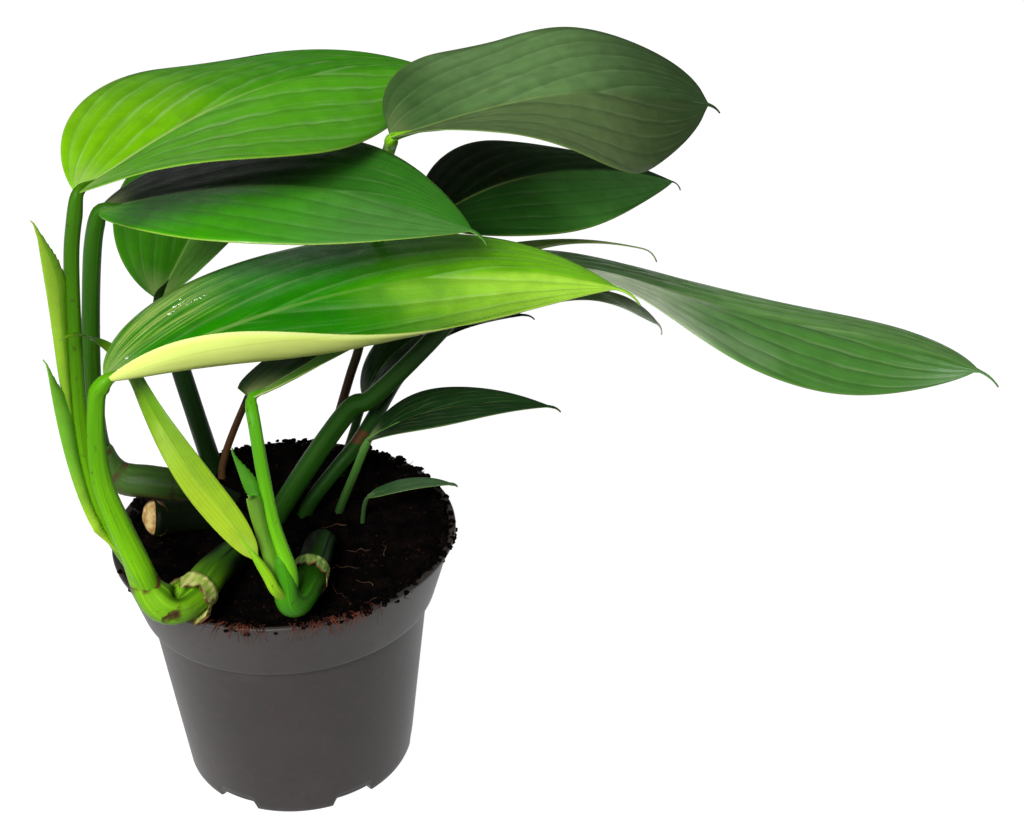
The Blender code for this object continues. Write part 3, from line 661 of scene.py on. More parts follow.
def leaf_underside(name, shade):
    paint = Paint(name + "_under")
    along, across = paint.growth()
    off_middle = abs((across - 0.5) * 2.0)
    ridge = abs(paint.math("SINE", vein_turns(along, off_middle) * math.pi))
    darker = paint.blend(0.4, shade, (150, 180, 30))
    base = paint.blend(paint.noise(45.0).fade(0.35, 0.7) * 0.4, shade, darker)
    base = paint.blend(ridge.fade(0.2, 0.03) * 0.5, base, darker)
    base = paint.blend(off_middle.fade(0.06, 0.02) * 0.6, base, (188, 210, 120))
    base = paint.blend(off_middle.fade(0.95, 0.99) * 0.6, base, (226, 236, 160))
    paint.bump(paint.noise(1100.0, 3.0), 0.25, 0.00015)
    return finish_leaf(paint, base, 0.5, 0.2)


def leaf_skins(name, colours, look):
    return [leaf_top(name, colours, **look), leaf_underside(name, colours[4])]


def stalk_skin(name, shades, gloss, turn=USUAL_TURN):
    """Green skin with long streaks, a blush along one side, and brown scars at places along it."""
    paint = Paint(name + "_skin")
    along, around = paint.growth()
    foot, top, blush = shades
    base = paint.blend(along.fade(*turn), foot, top)
    lines = paint.stretched_noise(3.0, along * 2.5, around * 26.0)
    lighter = paint.blend(1.0, base, (1.9, 1.6, 1.5, 1.0), "MULTIPLY")
    darker = paint.blend(1.0, base, (0.35, 0.45, 0.4, 1.0), "MULTIPLY")
    base = paint.blend(lines.fade(0.45, 0.75) * 0.55, base, lighter)
    base = paint.blend(lines.fade(0.5, 0.2) * 0.5, base, darker)
    base = paint.blend(abs(around - 0.5).fade(0.36, 0.47) * 0.7, base, blush)
    base = paint.blend(paint.noise(420.0, 3.0).fade(0.64, 0.72) * 0.5, base, (60, 44, 24))
    for place, half_length, shade in SCARS.get(name, ()):
        ragged = (paint.noise(150.0) - 0.5) * (half_length * 5)
        patch = (abs(along - place) + ragged).fade(half_length, half_length * 0.4)
        blotchy = paint.noise(120.0, 5.0).fade(0.4, 0.6)
        base = paint.blend(patch * blotchy, base, shade)
    paint.bump(lines + paint.noise(900.0, 3.0), 0.35, 0.0003)
    return paint.finish(base, gloss, Specular_IOR_Level=0.1)


def collar_skin(name, pale, streak):
    paint = Paint(name)
    along, around = paint.growth()
    lines = paint.stretched_noise(3.0, along * 1.2, around * 30.0)
    base = paint.blend(lines.fade(0.35, 0.65), pale, streak)
    base = paint.blend((along + paint.noise(380.0) * 0.5).fade(1.0, 1.25), base, (96, 60, 30))
    base = paint.blend(paint.noise(500.0, 3.0).fade(0.62, 0.7) * 0.5, base, (120, 84, 40))
    paint.bump(lines, 0.4, 0.0004)
    return paint.finish(base, 0.55, Specular_IOR_Level=0.3)


def callus_skin():
    paint = Paint("callus_dry")
    from_middle, _ = paint.growth()
    base = paint.blend(paint.noise(420.0, 4.0).fade(0.35, 0.68), (228, 198, 132), (178, 128, 66))
    base = paint.blend(paint.cells(520.0).fade(0.2, 0.08) * 0.7, base, (84, 52, 26))
    base = paint.blend(from_middle.fade(0.8, 0.95), base, (70, 48, 30))
    paint.bump(paint.noise(300.0, 5.0), 0.8, 0.0008)
    return paint.finish(base, 0.8, Specular_IOR_Level=0.2)


def fibre_skin(name, light, dark):
    paint = Paint(name)
    base = paint.blend(paint.noise(260.0, 3.0).fade(0.35, 0.65), light, dark)
    return paint.finish(base, 0.8, Specular_IOR_Level=0.2)


def water():
    paint = Paint("water")
    base = paint.blend(paint.noise(300.0, 2.0), (0.75, 0.95, 0.6, 1.0), (0.9, 1.0, 0.8, 1.0))
    return paint.finish(base, 0.04, Specular_IOR_Level=0.6, IOR=1.33, Transmission_Weight=0.85)


def pot_plastic():
    paint = Paint("pot_plastic_moulded")
    cloudy = paint.noise(22.0, 5.0)
    dots = paint.noise(330.0, 4.0)
    base = paint.blend(cloudy.fade(0.35, 0.7), (48, 44, 42), (57, 52, 50))
    base = paint.blend(dots.fade(0.55, 0.7) * 0.35, base, (72, 50, 46))
    base = paint.blend(dots.fade(0.45, 0.3) * 0.35, base, (38, 43, 40))
    base = paint.blend(paint.noise(60.0, 6.0).fade(0.6, 0.8) * 0.25, base, (108, 100, 96))
    paint.bump(paint.noise(700.0, 3.0) + cloudy * 2.0, 0.12, 0.0003)
    return paint.finish(base, cloudy * 0.14 + 0.36, Specular_IOR_Level=0.3)


def soil_mix(name, light):
    paint = Paint(name)
    base = paint.blend(paint.noise(180.0, 6.0).fade(0.35, 0.75), (3, 2, 2), light)
    base = paint.blend(paint.noise(620.0, 3.0).fade(0.64, 0.74) * 0.45, base, (76, 44, 28))
    paint.bump(paint.noise(420.0, 6.0), 0.8, 0.0012)
    return paint.finish(base, 0.95, Specular_IOR_Level=0.03)


def studio_white():
    shade = (0.15, 0.15, 0.15, 1.0)
    glow = (1.0, 1.0, 1.0, 1.0)
    paint = Paint("floor_white")
    return paint.finish(shade, 0.9, Specular_IOR_Level=0.1, Emission_Color=glow, Emission_Strength=0.97)


# ---------------------------------------------------------------- meshes


def add_object(name, data):
    added = bpy.data.objects.new(name, data)
    bpy.context.scene.collection.objects.link(added)
    return added


def new_mesh(name, points, faces, materials):
    mesh = bpy.data.meshes.new(name)
    mesh.from_pydata([tuple(map(float, point)) for point in points], [], faces)
    for material in materials:
        mesh.materials.append(material)
    return mesh


def add_piece(name, points, faces, materials, node=None, growth=None, face_materials=None, smooth=True):
    """A mesh piece that rides on the plant. Growth gives each point its place along and across it."""
    mesh = new_mesh(name, points, faces, materials)
    if face_materials is not None:
        mesh.polygons.foreach_set("material_index", face_materials)
    mesh.polygons.foreach_set("use_smooth", [smooth] * len(mesh.polygons))
    if growth is not None:
        layer = mesh.uv_layers.new(name=GROWTH_MAP)
        corners = np.array([loop.vertex_index for loop in mesh.loops])
        layer.uv.foreach_set("vector", np.asarray(growth, np.float32)[corners].ravel())
    mesh.update()
    piece = add_object(name, mesh)
    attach(piece, "root")
    if node is not None:
        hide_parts(node)


def add_many(name, shapes, material, smooth=True):
    """One piece made of many small closed shapes, each given as its points and faces."""
    points = []
    faces = []
    for more, pattern in shapes:
        faces += [tuple(len(points) + i for i in face) for face in pattern]
        points += list(more)
    add_piece(name, points, faces, [material], smooth=smooth)


def ring_faces(rings, sides, first=0):
    """Faces between each ring of points and the next."""
    faces = []
    for ring in range(rings - 1):
        for k in range(sides):
            a = first + ring * sides + k
            b = first + ring * sides + (k + 1) % sides
            faces.append((a, b, b + sides, a + sides))
    return faces


def tube_faces(rings, sides):
    last = (rings - 1) * sides
    return ring_faces(rings, sides) + [tuple(range(sides))[::-1], tuple(range(last, last + sides))]


def dome_faces(rings, sides):
    """A point at the top, rings of points that widen away from it, and a cap under the last of them."""
    last = 1 + (rings - 1) * sides
    faces = [(0, 1 + k, 1 + (k + 1) % sides) for k in range(sides)]
    faces += [face[::-1] for face in ring_faces(rings, sides, 1)]
    return faces + [tuple(range(last, last + sides))[::-1]]


def slab_faces(rows, columns):
    """Faces of an upper grid of points, of a lower one and of the strip round them, and which are lower."""
    below = rows * columns
    faces = []
    for i in range(rows - 1):
        for a in range(i * columns, i * columns + columns - 1):
            b = a + columns
            faces.append((a, b, b + 1, a + 1))
            faces.append((below + a, below + a + 1, below + b + 1, below + b))
    lower = [0, 1] * (len(faces) // 2)
    grid = np.arange(below).reshape(rows, columns)
    edge = np.concatenate([grid[0], grid[1:, -1], grid[-1, -2::-1], grid[-2:0:-1, 0]]).tolist()
    faces += [(a, b, below + b, below + a) for a, b in zip(edge, edge[1:] + edge[:1])]
    return faces, lower + [0] * len(edge)


def polar(radius, angle):
    return radius * math.cos(angle), radius * math.sin(angle)


def axes_on(direction):
    """A direction at length 1, and two directions square to it."""
    ahead = Vector(direction).normalized()
    across = ahead.orthogonal().normalized()
    return ahead, across, ahead.cross(across)


def ease(value):
    """From 0 to 1 and level at both ends."""
    value = np.clip(value, 0, 1)
    return value * value * (3 - 2 * value)


def nearest_on(path, place):
    return int(np.argmin(np.linalg.norm(path - place, axis=1)))


def tangent(path, index):
    return path[min(index + 1, len(path) - 1)] - path[max(index - 1, 0)]


def shift_to(node, cad_points):
    """How far points like the CAD's have to move to be where the CAD node is."""
    low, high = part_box(node)
    points = np.asarray(cad_points).reshape(-1, 3)
    return (np.array(low) + np.array(high)) / 2 - (points.min(axis=0) + points.max(axis=0)) / 2


# ---------------------------------------------------------------- blades and sheaths


def at_even_steps(values, along, softness):
    """Values spread evenly from 0 to 1, read at each place along, without corners where it is soft."""
    steps = np.linspace(0, 1, len(values))
    offsets = np.linspace(-softness, softness, 9)
    return np.mean([np.interp(along + offset, steps, values) for offset in offsets], axis=0)


def blade_half_widths(blade, along):
    """Half of the blade's width at each place along its midrib, ending in a thin drip tail."""
    foot_power, tip_power = blade["shape"]
    t = np.clip(along / TAIL_START, 0, 1)
    peak = foot_power / (foot_power + tip_power)
    outline = t**foot_power * (1 - t) ** tip_power
    outline /= peak**foot_power * (1 - peak) ** tip_power
    in_tail = np.clip((along - TAIL_START) / (1 - TAIL_START), 0, 1)
    tail = TAIL_HALF_WIDTH + (TAIL_POINT_HALF_WIDTH - TAIL_HALF_WIDTH) * in_tail
    least = np.where(along > 0.5, tail, FOOT_HALF_WIDTH)
    return np.maximum(blade["width"] * MM / 2 * outline, least)


def blade_grid(blade, rows, half_columns, softness=0.0):
    """Points of the blade's middle surface, one row for each step from its foot to its tip."""
    along = np.linspace(0, 1, rows + 1)

    def angles(key):
        return at_even_steps(blade[key], along, softness)

    droop = TAIL_DROOP * np.clip((along - TAIL_START) / (1 - TAIL_START), 0, 1)
    pitch = np.radians(angles("pitch") - droop)
    heading = np.radians(angles("heading"))
    roll = np.radians(angles("roll"))
    ahead = np.stack([np.cos(pitch) * np.cos(heading), np.cos(pitch) * np.sin(heading), np.sin(pitch)], 1)
    level = np.stack([-np.sin(heading), np.cos(heading), np.zeros(rows + 1)], 1)
    left = np.cos(roll)[:, None] * level + np.sin(roll)[:, None] * np.cross(ahead, level)
    normal = np.cross(ahead, left)

    midrib = np.zeros((rows + 1, 3))
    midrib[1:] = np.cumsum((ahead[1:] + ahead[:-1]) / 2 * (blade["length"] * MM / rows), axis=0)
    midrib += np.array(blade["base"]) * MM
    column_width = (blade_half_widths(blade, along) / half_columns)[:, None]
    grid = np.zeros((rows + 1, 2 * half_columns + 1, 3))
    grid[:, half_columns] = midrib
    for sign, side in ((1, "left"), (-1, "right")):
        fold = np.radians(angles("fold_" + side))
        curl = np.radians(angles("curl_" + side))
        place = midrib
        for column in range(1, half_columns + 1):
            lift = fold + curl * (column - 0.5) / half_columns
            sideways = sign * np.cos(lift)[:, None] * left + np.sin(lift)[:, None] * normal
            place = place + column_width * sideways
            grid[:, half_columns + sign * column] = place
    return grid


def grid_normals(grid):
    normals = np.cross(np.gradient(grid, axis=0), np.gradient(grid, axis=1))
    return normals / np.linalg.norm(normals, axis=2, keepdims=True)


def placed_grid(node, blade, thickness, rows, half_columns, softness=0.0):
    """The grid of a blade, moved to where its CAD node is."""
    cad_grid = blade_grid(blade, CAD_BLADE_ROWS, CAD_HALF_COLUMNS)
    offset = grid_normals(cad_grid) * thickness / 2
    shift = shift_to(node, [cad_grid + offset, cad_grid - offset])
    return blade_grid(blade, rows, half_columns, softness) + shift


def vein_relief(along, across, size):
    """Height of the upper side over the blade's middle surface, low on each vein and on the midrib."""
    off_middle = np.abs(across)
    turns = VEIN_COUNT * (along - VEIN_REACH * off_middle**VEIN_BEND)
    swell = np.abs(np.sin(np.pi * turns)) ** 0.8 - 0.6
    edge = (1 - off_middle**5) * np.clip(off_middle / 0.12, 0, 1)
    ends = np.clip(along / 0.12, 0, 1) * np.clip((1 - along) / 0.15, 0, 1)
    groove = 0.7 * np.exp(-((off_middle / 0.05) ** 2))
    return size * ends * (swell * edge - groove)


def add_sheet(node, grid, half_widths, materials, relief, rib):
    """A leaf or sheath around a grid of points: two curved sides that meet round the margin."""
    normals = grid_normals(grid)
    rows, columns = grid.shape[:2]
    along, across = np.meshgrid(np.linspace(0, 1, rows), np.linspace(-1, 1, columns), indexing="ij")
    half_width = half_widths[:, None]
    height = vein_relief(along, across, relief * np.clip(half_width / (20 * MM), 0.1, 1))
    half = (LEAF_THICKNESS + (LEAF_EDGE_THICKNESS - LEAF_THICKNESS) * np.abs(across) ** 3) / 2
    ridge = rib * np.exp(-((across * half_width / RIB_HALF_WIDTH) ** 2)) * np.clip((1 - along) * 1.6, 0.1, 1)
    ridge *= np.clip(half_width / (8 * MM), 0.1, 1)
    top = grid + normals * (height + half)[..., None]
    under = grid + normals * (height * 0.7 - half - ridge)[..., None]
    points = np.concatenate([top.reshape(-1, 3), under.reshape(-1, 3)])
    place = np.stack([along, across / 2 + 0.5], axis=2).reshape(-1, 2)
    faces, lower = slab_faces(rows, columns)
    add_piece(node, points, faces, materials, node, np.concatenate([place, place]), lower)


def add_blade(node, blade, materials, cad_thickness, steps, softness, relief, rib):
    """A blade in the place of its CAD node. It gives its grid of middle points and its foot's joint."""
    rows, half_columns = steps
    grid = placed_grid(node, blade, cad_thickness, rows, half_columns, softness)
    half_widths = blade_half_widths(blade, np.linspace(0, 1, rows + 1))
    add_sheet(node, grid, half_widths, materials, relief, rib)
    midrib = grid[:, half_columns]
    return grid, (midrib[0], midrib[1] - midrib[0])


def add_sheath(node, stalk, pull, taper, free_from):
    """A sheath as a wing of its stalk, which it leaves only near its tip.

    Its free edge is the CAD sheath's, pulled towards the stalk by one length at its foot and another
    at its tip, and then tapers away down the stalk.
    """
    path, widths = stalk
    grid = placed_grid(node, NARROW_BLADES[node], CAD_NARROW_THICKNESS, SHEATH_ROWS, 6)
    edges = grid[:, 0], grid[:, -1]
    apart = [np.linalg.norm(edge[:, None] - path[None], axis=2).min(axis=1).sum() for edge in edges]
    outer_first = apart[0] > apart[1]
    skins = []
    reaches = []
    for i, edge in enumerate(edges[0] if outer_first else edges[1]):
        nearest = nearest_on(path, edge)
        outward = edge - path[nearest]
        outward /= np.linalg.norm(outward)
        skin = path[nearest] + outward * widths[nearest] * SHEATH_INSET
        pulled = edge - outward * (pull[0] + (pull[1] - pull[0]) * i / SHEATH_ROWS)
        skins.append((nearest, skin))
        reaches.append(pulled - skin)
    first = skins[0][0]
    last = max(0, first - round(taper / (STALK_STEP * MM)))
    foot_reach = np.linalg.norm(reaches[0])
    direction = reaches[0] / foot_reach
    for k in range(1, SHEATH_TAPER_ROWS + 1):
        place = first + (last - first) * k / SHEATH_TAPER_ROWS
        nearest = int(place)
        centre = path[nearest] + (path[min(nearest + 1, len(path) - 1)] - path[nearest]) * (place - nearest)
        skins.insert(0, (nearest, centre + direction * widths[nearest] * SHEATH_INSET))
        reaches.insert(0, direction * (foot_reach * (1 - k / SHEATH_TAPER_ROWS) ** 1.2 + 0.1 * MM))

    wing = np.zeros((len(skins), SHEATH_COLUMNS, 3))
    half_widths = np.zeros(len(skins))
    shares = np.linspace(0, 1, SHEATH_COLUMNS)[:, None]
    if outer_first:
        shares = 1 - shares
    for i, ((nearest, skin), reach) in enumerate(zip(skins, reaches)):
        freed = ease(((i - SHEATH_TAPER_ROWS) / SHEATH_ROWS - free_from) / (1 - free_from))
        edge = skin + reach
        inner = skin + reach * 0.96 * freed
        facing = np.cross(tangent(path, nearest), reach)
        facing *= -np.sign(facing[1]) / np.linalg.norm(facing)
        rise = SHEATH_BULGE * (1 - freed) * min(1, np.linalg.norm(reach) / (4 * MM))
        wing[i] = inner + (edge - inner) * shares + facing * rise * np.sin(np.pi * shares)
        half_widths[i] = np.linalg.norm(edge - inner) / 2
    materials = leaf_skins(node, LEAF_COLOURS[node], SHEATH_LOOK)
    add_sheet(node, wing, half_widths, materials, 0.08 * MM, 0.0)


# ---------------------------------------------------------------- stalks and stems


def smooth_path(points, radii, step):
    """A Catmull-Rom curve through the points, with the radius along it."""
    points = np.array(points, float)
    padded = np.vstack([2 * points[0] - points[1], points, 2 * points[-1] - points[-2]])
    path = [points[0]]
    widths = [radii[0]]
    for i in range(len(points) - 1):
        before, start, end, after = padded[i:i + 4]
        count = max(1, round(np.linalg.norm(end - start) / step))
        for k in range(1, count + 1):
            t = k / count
            straight = 2 * start + (end - before) * t
            bend = (2 * before - 5 * start + 4 * end - after) * t**2
            twist = (3 * start - before - 3 * end + after) * t**3
            path.append(0.5 * (straight + bend + twist))
            widths.append(radii[i] + (radii[i + 1] - radii[i]) * t)
    return np.array(path) * MM, np.array(widths) * MM


def tube_rings(path, widths, sides, outline=None):
    """Rings of points along the path, which turn with it and don't twist. Outline scales each side."""
    ahead = np.gradient(path, axis=0)
    ahead /= np.linalg.norm(ahead, axis=1, keepdims=True)
    across = Vector(ahead[0]).orthogonal().normalized()
    rings = np.zeros((len(path), sides, 3))
    for i, (place, direction, radius) in enumerate(zip(path, ahead, map(float, widths))):
        direction = Vector(direction)
        across = (across - direction * across.dot(direction)).normalized()
        other = direction.cross(across)
        for k in range(sides):
            angle = 2 * math.pi * k / sides
            reach = radius if outline is None else radius * outline(i / (len(path) - 1), angle)
            rings[i, k] = Vector(place) + reach * (math.cos(angle) * across + math.sin(angle) * other)
    return rings


def hollow_out(rings, path, along, trough):
    """Sinks the upper side of a tube between two places along it, and raises a rim at each side."""
    start, end = trough
    for ring, centre, place in zip(rings, path, along):
        share = ease((place - start) / 0.08) * ease((end - place) / 0.08)
        for k, point in enumerate(ring):
            out = point - centre
            from_up = math.acos(max(-1.0, min(1.0, out[2] / np.linalg.norm(out))))
            sink = 0.7 * math.exp(-((from_up / 0.55) ** 2))
            rim = 0.22 * math.exp(-(((from_up - 1.05) / 0.22) ** 2))
            ring[k] = centre + out * (1 + share * (rim - sink))


def tube_route(spec, finer, root, joint, shift):
    """Points and radii of a tube in millimetres, from what it grows from to inside its blade's foot."""
    points = [np.array(point, float) for point in spec["points"]]
    radii = list(spec["radii"])
    if finer is not None:
        first, last, before, after = finer
        kept = list(zip(points, radii))[first:last + 1]
        points, radii = zip(*before, *kept, *after)
        points = [np.array(point, float) for point in points]
        radii = list(radii)
    if root is not None:
        back = points[0] - points[1]
        guess = (points[0] + back / np.linalg.norm(back) * ROOT_REACH) * MM + shift
        points.insert(0, (root[nearest_on(root, guess)] - shift) / MM)
        radii.insert(0, radii[0] * 0.8)
    if joint is not None:
        foot = (joint[0] - shift) / MM
        ahead = joint[1] / np.linalg.norm(joint[1])
        radius = radii[-1]
        points[-1] = points[-1] * 0.75 + points[-2] * 0.25
        for length, drop, share in JOINT:
            points.append(foot + ahead * length - UP * drop)
            radii.append(radius * share)
        points.append(foot + ahead * JOINT_END[0] - UP * JOINT_END[1])
        radii.append(JOINT_END_RADIUS)
    return points, radii


def add_tube(node, spec, cad_sides, material, sides, root=None, joint=None, flare=0.0, groove=0.0,
             rounded=0.0, trough=None):
    """A stalk or stem in the place of its CAD node. It gives its path and the radius along it.

    Root is the path of what it grows from, into which its foot is carried on. Joint is the foot of its
    blade, with the direction of the midrib there: the stalk swells, turns and runs into the blade.
    Flare widens its foot, and its far end is rounded over a length. Trough is the stretch whose upper
    side is hollowed.
    """
    cad_rings = tube_rings(*smooth_path(spec["points"], spec["radii"], CAD_TUBE_STEP), cad_sides)
    shift = shift_to(node, cad_rings)
    path, widths = smooth_path(*tube_route(spec, FINER_ENDS.get(node), root, joint, shift), STALK_STEP)
    path += shift
    run = np.concatenate([[0], np.cumsum(np.linalg.norm(np.diff(path, axis=0), axis=1))])
    along = run / run[-1]
    widths *= 1 + flare * np.exp(-(((run - 6 * MM) / (8 * MM)) ** 2))
    if joint is not None:
        widths *= 1 + 0.06 * np.exp(-(((run - run[-1] + 16 * MM) / (5 * MM)) ** 2))
    if rounded:
        left = np.clip((run[-1] - run) / rounded, 0.02, 1)
        widths *= np.sqrt(1 - (1 - left) ** 2)

    def outline(t, angle):
        uneven = 0.02 * math.sin(3 * angle + 9 * t) + 0.015 * math.sin(5 * angle - 14 * t)
        return 1 + uneven - groove * math.exp(-(((angle - 4.4) / 0.45) ** 2))

    rings = tube_rings(path, widths, sides, outline)
    if trough is not None:
        hollow_out(rings, path, along, trough)
    growth = [(t, k / sides) for t in along for k in range(sides)]
    add_piece(node, rings.reshape(-1, 3), tube_faces(len(path), sides), [material], node, growth)
    return path, widths


def add_collar(name, stem, place, length, material, seed, flare):
    """The torn foot of an old leaf round a stem, with a ragged edge towards the stem's tip."""
    path, widths = stem
    index = int(place * (len(path) - 1))
    ahead, across, other = axes_on(tangent(path, index))
    outer = []
    inner = []
    growth = []
    for k in range(COLLAR_SIDES + 1):
        angle = 2 * math.pi * k / COLLAR_SIDES
        x, y = polar(1, angle)
        sideways = across * x + other * y
        ragged = noise.noise(Vector((x * 2.2, y * 2.2, seed)))
        ragged += 0.6 * noise.noise(Vector((x * 7, y * 7, seed)))
        reach = length * (0.72 + 0.5 * ragged)
        for step in range(COLLAR_STEPS + 1):
            share = step / COLLAR_STEPS
            out = float(widths[index]) * (1.03 + flare * share**2)
            out += 0.25 * MM * noise.noise(Vector((angle * 2, share * 3, seed)))
            centre = Vector(path[index]) + ahead * reach * share
            outer.append(centre + sideways * (out + COLLAR_THICKNESS * (1.2 - 0.8 * share)))
            inner.append(centre + sideways * out)
            growth.append((share, k / COLLAR_SIDES))
    faces, _ = slab_faces(COLLAR_SIDES + 1, COLLAR_STEPS + 1)
    add_piece(name, outer + inner, faces, [material], growth=growth + growth)


def add_callus(name, stem, facing):
    """The slanting cut face at a stub's end: a rough shallow dome, and a skirt that goes into the stub."""
    path, widths = stem
    centre = Vector(path[-1]) - Vector(path[-1] - path[-2]).normalized() * MM
    normal, across, other = axes_on(facing)
    radius = float(widths[-1]) * 1.04
    points = [centre + normal * CALLUS_RISE]
    growth = [(0.0, 0.0)]
    for ring in range(1, CALLUS_RINGS + 2):
        in_skirt = ring > CALLUS_RINGS
        share = min(ring / CALLUS_RINGS, 1.0)
        for k in range(CALLUS_SIDES):
            x, y = polar(share, 2 * math.pi * k / CALLUS_SIDES)
            uneven = noise.noise(Vector((x * 3, y * 3, 5.0)))
            out = radius * (1 + 0.06 * uneven) * (0.8 if in_skirt else 1)
            lift = CALLUS_RISE * math.sqrt(1 - share * share * 0.96) + 0.5 * MM * uneven * (1 - share)
            if in_skirt:
                lift = -2.5 * MM
            points.append(centre + (across * x + other * y) * out + normal * lift)
            growth.append((share, k / CALLUS_SIDES))
    faces = dome_faces(CALLUS_RINGS + 1, CALLUS_SIDES)
    add_piece(name, points, faces, [callus_skin()], growth=growth)


def drop(centre, normal, radius):
    """Points and faces of a water drop that sits on a surface."""
    normal, across, other = axes_on(normal)
    points = [centre + normal * radius * DROP_HEIGHT]
    for ring in range(1, DROP_RINGS + 1):
        tilt = math.pi / 2 * ring / DROP_RINGS
        for k in range(DROP_SIDES):
            x, y = polar(radius * math.sin(tilt), 2 * math.pi * k / DROP_SIDES)
            points.append(centre + across * x + other * y + normal * radius * DROP_HEIGHT * math.cos(tilt))
    return points, dome_faces(DROP_RINGS, DROP_SIDES)


def add_drops(grid):
    """Water drops on the left half of the front blade, which is given as its grid of middle points."""
    rng = random.Random(4)
    places = []
    for _ in range(DROP_COUNT):
        places.append((rng.gauss(0.2, 0.025), rng.gauss(0.62, 0.05), rng.uniform(0.3, 0.75)))
    places += [(0.03, 0.1, 0.9), (0.05, 0.3, 0.6)]
    normals = grid_normals(grid)
    rows, columns = grid.shape[:2]
    drops = []
    for along, across, radius in places:
        i = round(along * (rows - 1))
        j = round((columns - 1) / 2 * (1 + across))
        normal = Vector(normals[i, j])
        drops.append(drop(Vector(grid[i, j]) + normal * 0.45 * MM, normal, radius * MM))
    add_many("water_drops", drops, water())


# ---------------------------------------------------------------- pot and soil


def beside(radius, height, *offsets):
    """Places on the pot's profile at these offsets, in millimetres, from one place."""
    return [(radius + out * MM, height + up * MM) for out, up in offsets]


def between(start, end, shares):
    return [tuple(a + (b - a) * share for a, b in zip(start, end)) for share in shares]


def pot_profile():
    """Outside of the pot from the axis to the rim, then its inside back to the axis."""
    disc = RIM_RADIUS * 0.5
    wall_top = RIM_RADIUS * 0.8267
    band_top = RIM_RADIUS - 1.2 * MM
    wall_foot = (BASE_RADIUS, 1.2 * MM)
    band_foot = (BAND_RADIUS, BAND_BOTTOM + 1.2 * MM)
    rim_lip = ((-0.5, -1.9), (-0.1, -1.5), (0, -1.1), (-0.1, -0.4), (-0.45, -0.05), (-0.9, 0), (-1.6, -0.1))
    profile = [(0, 0), (disc, 0), (disc + 1.5 * MM, FLOOR_GROOVE)]
    profile += beside(BASE_RADIUS, 0, (-5, 3), (-3.5, 0.2), (-3, 0), (-1.2, 0), (-0.4, 0.3), (0, 1.2))
    profile += between(wall_foot, (wall_top, BAND_BOTTOM), (0.03, 0.08, 0.2, 0.4, 0.6, 0.8, 0.97, 1.0))
    profile += beside(BAND_RADIUS, BAND_BOTTOM, (-1, 0.15), (-0.3, 0.5), (0, 1.2))
    profile += between(band_foot, (band_top, POT_HEIGHT - 2 * MM), (0.04, 0.35, 0.7, 0.97, 1.0))
    profile += beside(RIM_RADIUS, POT_HEIGHT, *rim_lip)
    return profile + [
        (band_top - WALL, POT_HEIGHT - 0.6 * MM), (BAND_RADIUS - WALL, BAND_BOTTOM + 2 * MM),
        (wall_top - WALL, BAND_BOTTOM + 0.6 * MM), (BASE_RADIUS - WALL, WALL + FLOOR_GROOVE),
        (disc + 0.6 * MM, WALL + FLOOR_GROOVE), (disc - 0.8 * MM, WALL), (0, WALL),
    ]


def notch_depth(angle):
    """How far up the base is cut away at this angle round the pot."""
    spacing = 2 * math.pi / NOTCH_COUNT
    off = (angle - math.radians(NOTCH_FIRST_ANGLE) + spacing / 2) % spacing - spacing / 2
    over = NOTCH_HALF_WIDTH - abs(off) * BASE_RADIUS
    return NOTCH_HEIGHT * min(1.0, max(0.0, over / NOTCH_SLOPE))


def add_pot():
    profile = pot_profile()
    points = [(0, 0, profile[0][1])]
    for radius, height in profile[1:-1]:
        in_foot = BASE_RADIUS - 5.5 * MM < radius < BASE_RADIUS + 0.4 * MM and height < NOTCH_HEIGHT
        for k in range(POT_SIDES):
            angle = 2 * math.pi * k / POT_SIDES
            wobble = POT_WOBBLE * math.sin(3 * angle + 0.7) * (height / POT_HEIGHT) ** 2
            reach = radius + (wobble if radius > 10 * MM else 0)
            points.append((*polar(reach, angle), max(height, notch_depth(angle)) if in_foot else height))
    points.append((0, 0, profile[-1][1]))
    rings = len(profile) - 2
    last = 1 + (rings - 1) * POT_SIDES
    faces = ring_faces(rings, POT_SIDES, 1)
    for k in range(POT_SIDES):
        after = (k + 1) % POT_SIDES
        faces += [(0, 1 + after, 1 + k), (last + k, last + after, len(points) - 1)]
    growth = [(z / POT_HEIGHT, math.atan2(y, x) / (2 * math.pi) + 0.5) for x, y, z in points]
    add_piece("nursery_pot", points, faces, [pot_plastic()], "nursery_pot", growth)


def soil_height(x, y):
    """The soil is heaped up a little towards the back, with lumps and crumbs in it."""
    heap = SOIL_MOUND * (y / RIM_RADIUS) * (math.hypot(x, y) / RIM_RADIUS)
    lumps = 0.8 * MM * math.sin(x * 190) * math.cos(y * 160 + 0.6)
    lumps += 0.5 * MM * math.sin(x * 340 + 1.3) * math.sin(y * 390)
    crumbs = noise.fractal(Vector((x, y, 0.3)) * 130, 0.9, 2.1, 4) * 1.1 * MM
    crumbs += abs(noise.noise(Vector((x, y, 0.8)) * 420)) * 0.9 * MM
    return SOIL_EDGE_HEIGHT + heap + lumps + crumbs


def on_soil(x, y):
    return Vector((x, y, soil_height(x, y)))


def inner_wall_radius(height):
    """Radius of the pot's inside at a height within its band."""
    top = RIM_RADIUS - 2.4 * MM
    bottom = BAND_RADIUS - WALL
    low = BAND_BOTTOM + 2 * MM
    return bottom + (top - bottom) * (height - low) / (POT_HEIGHT - low)


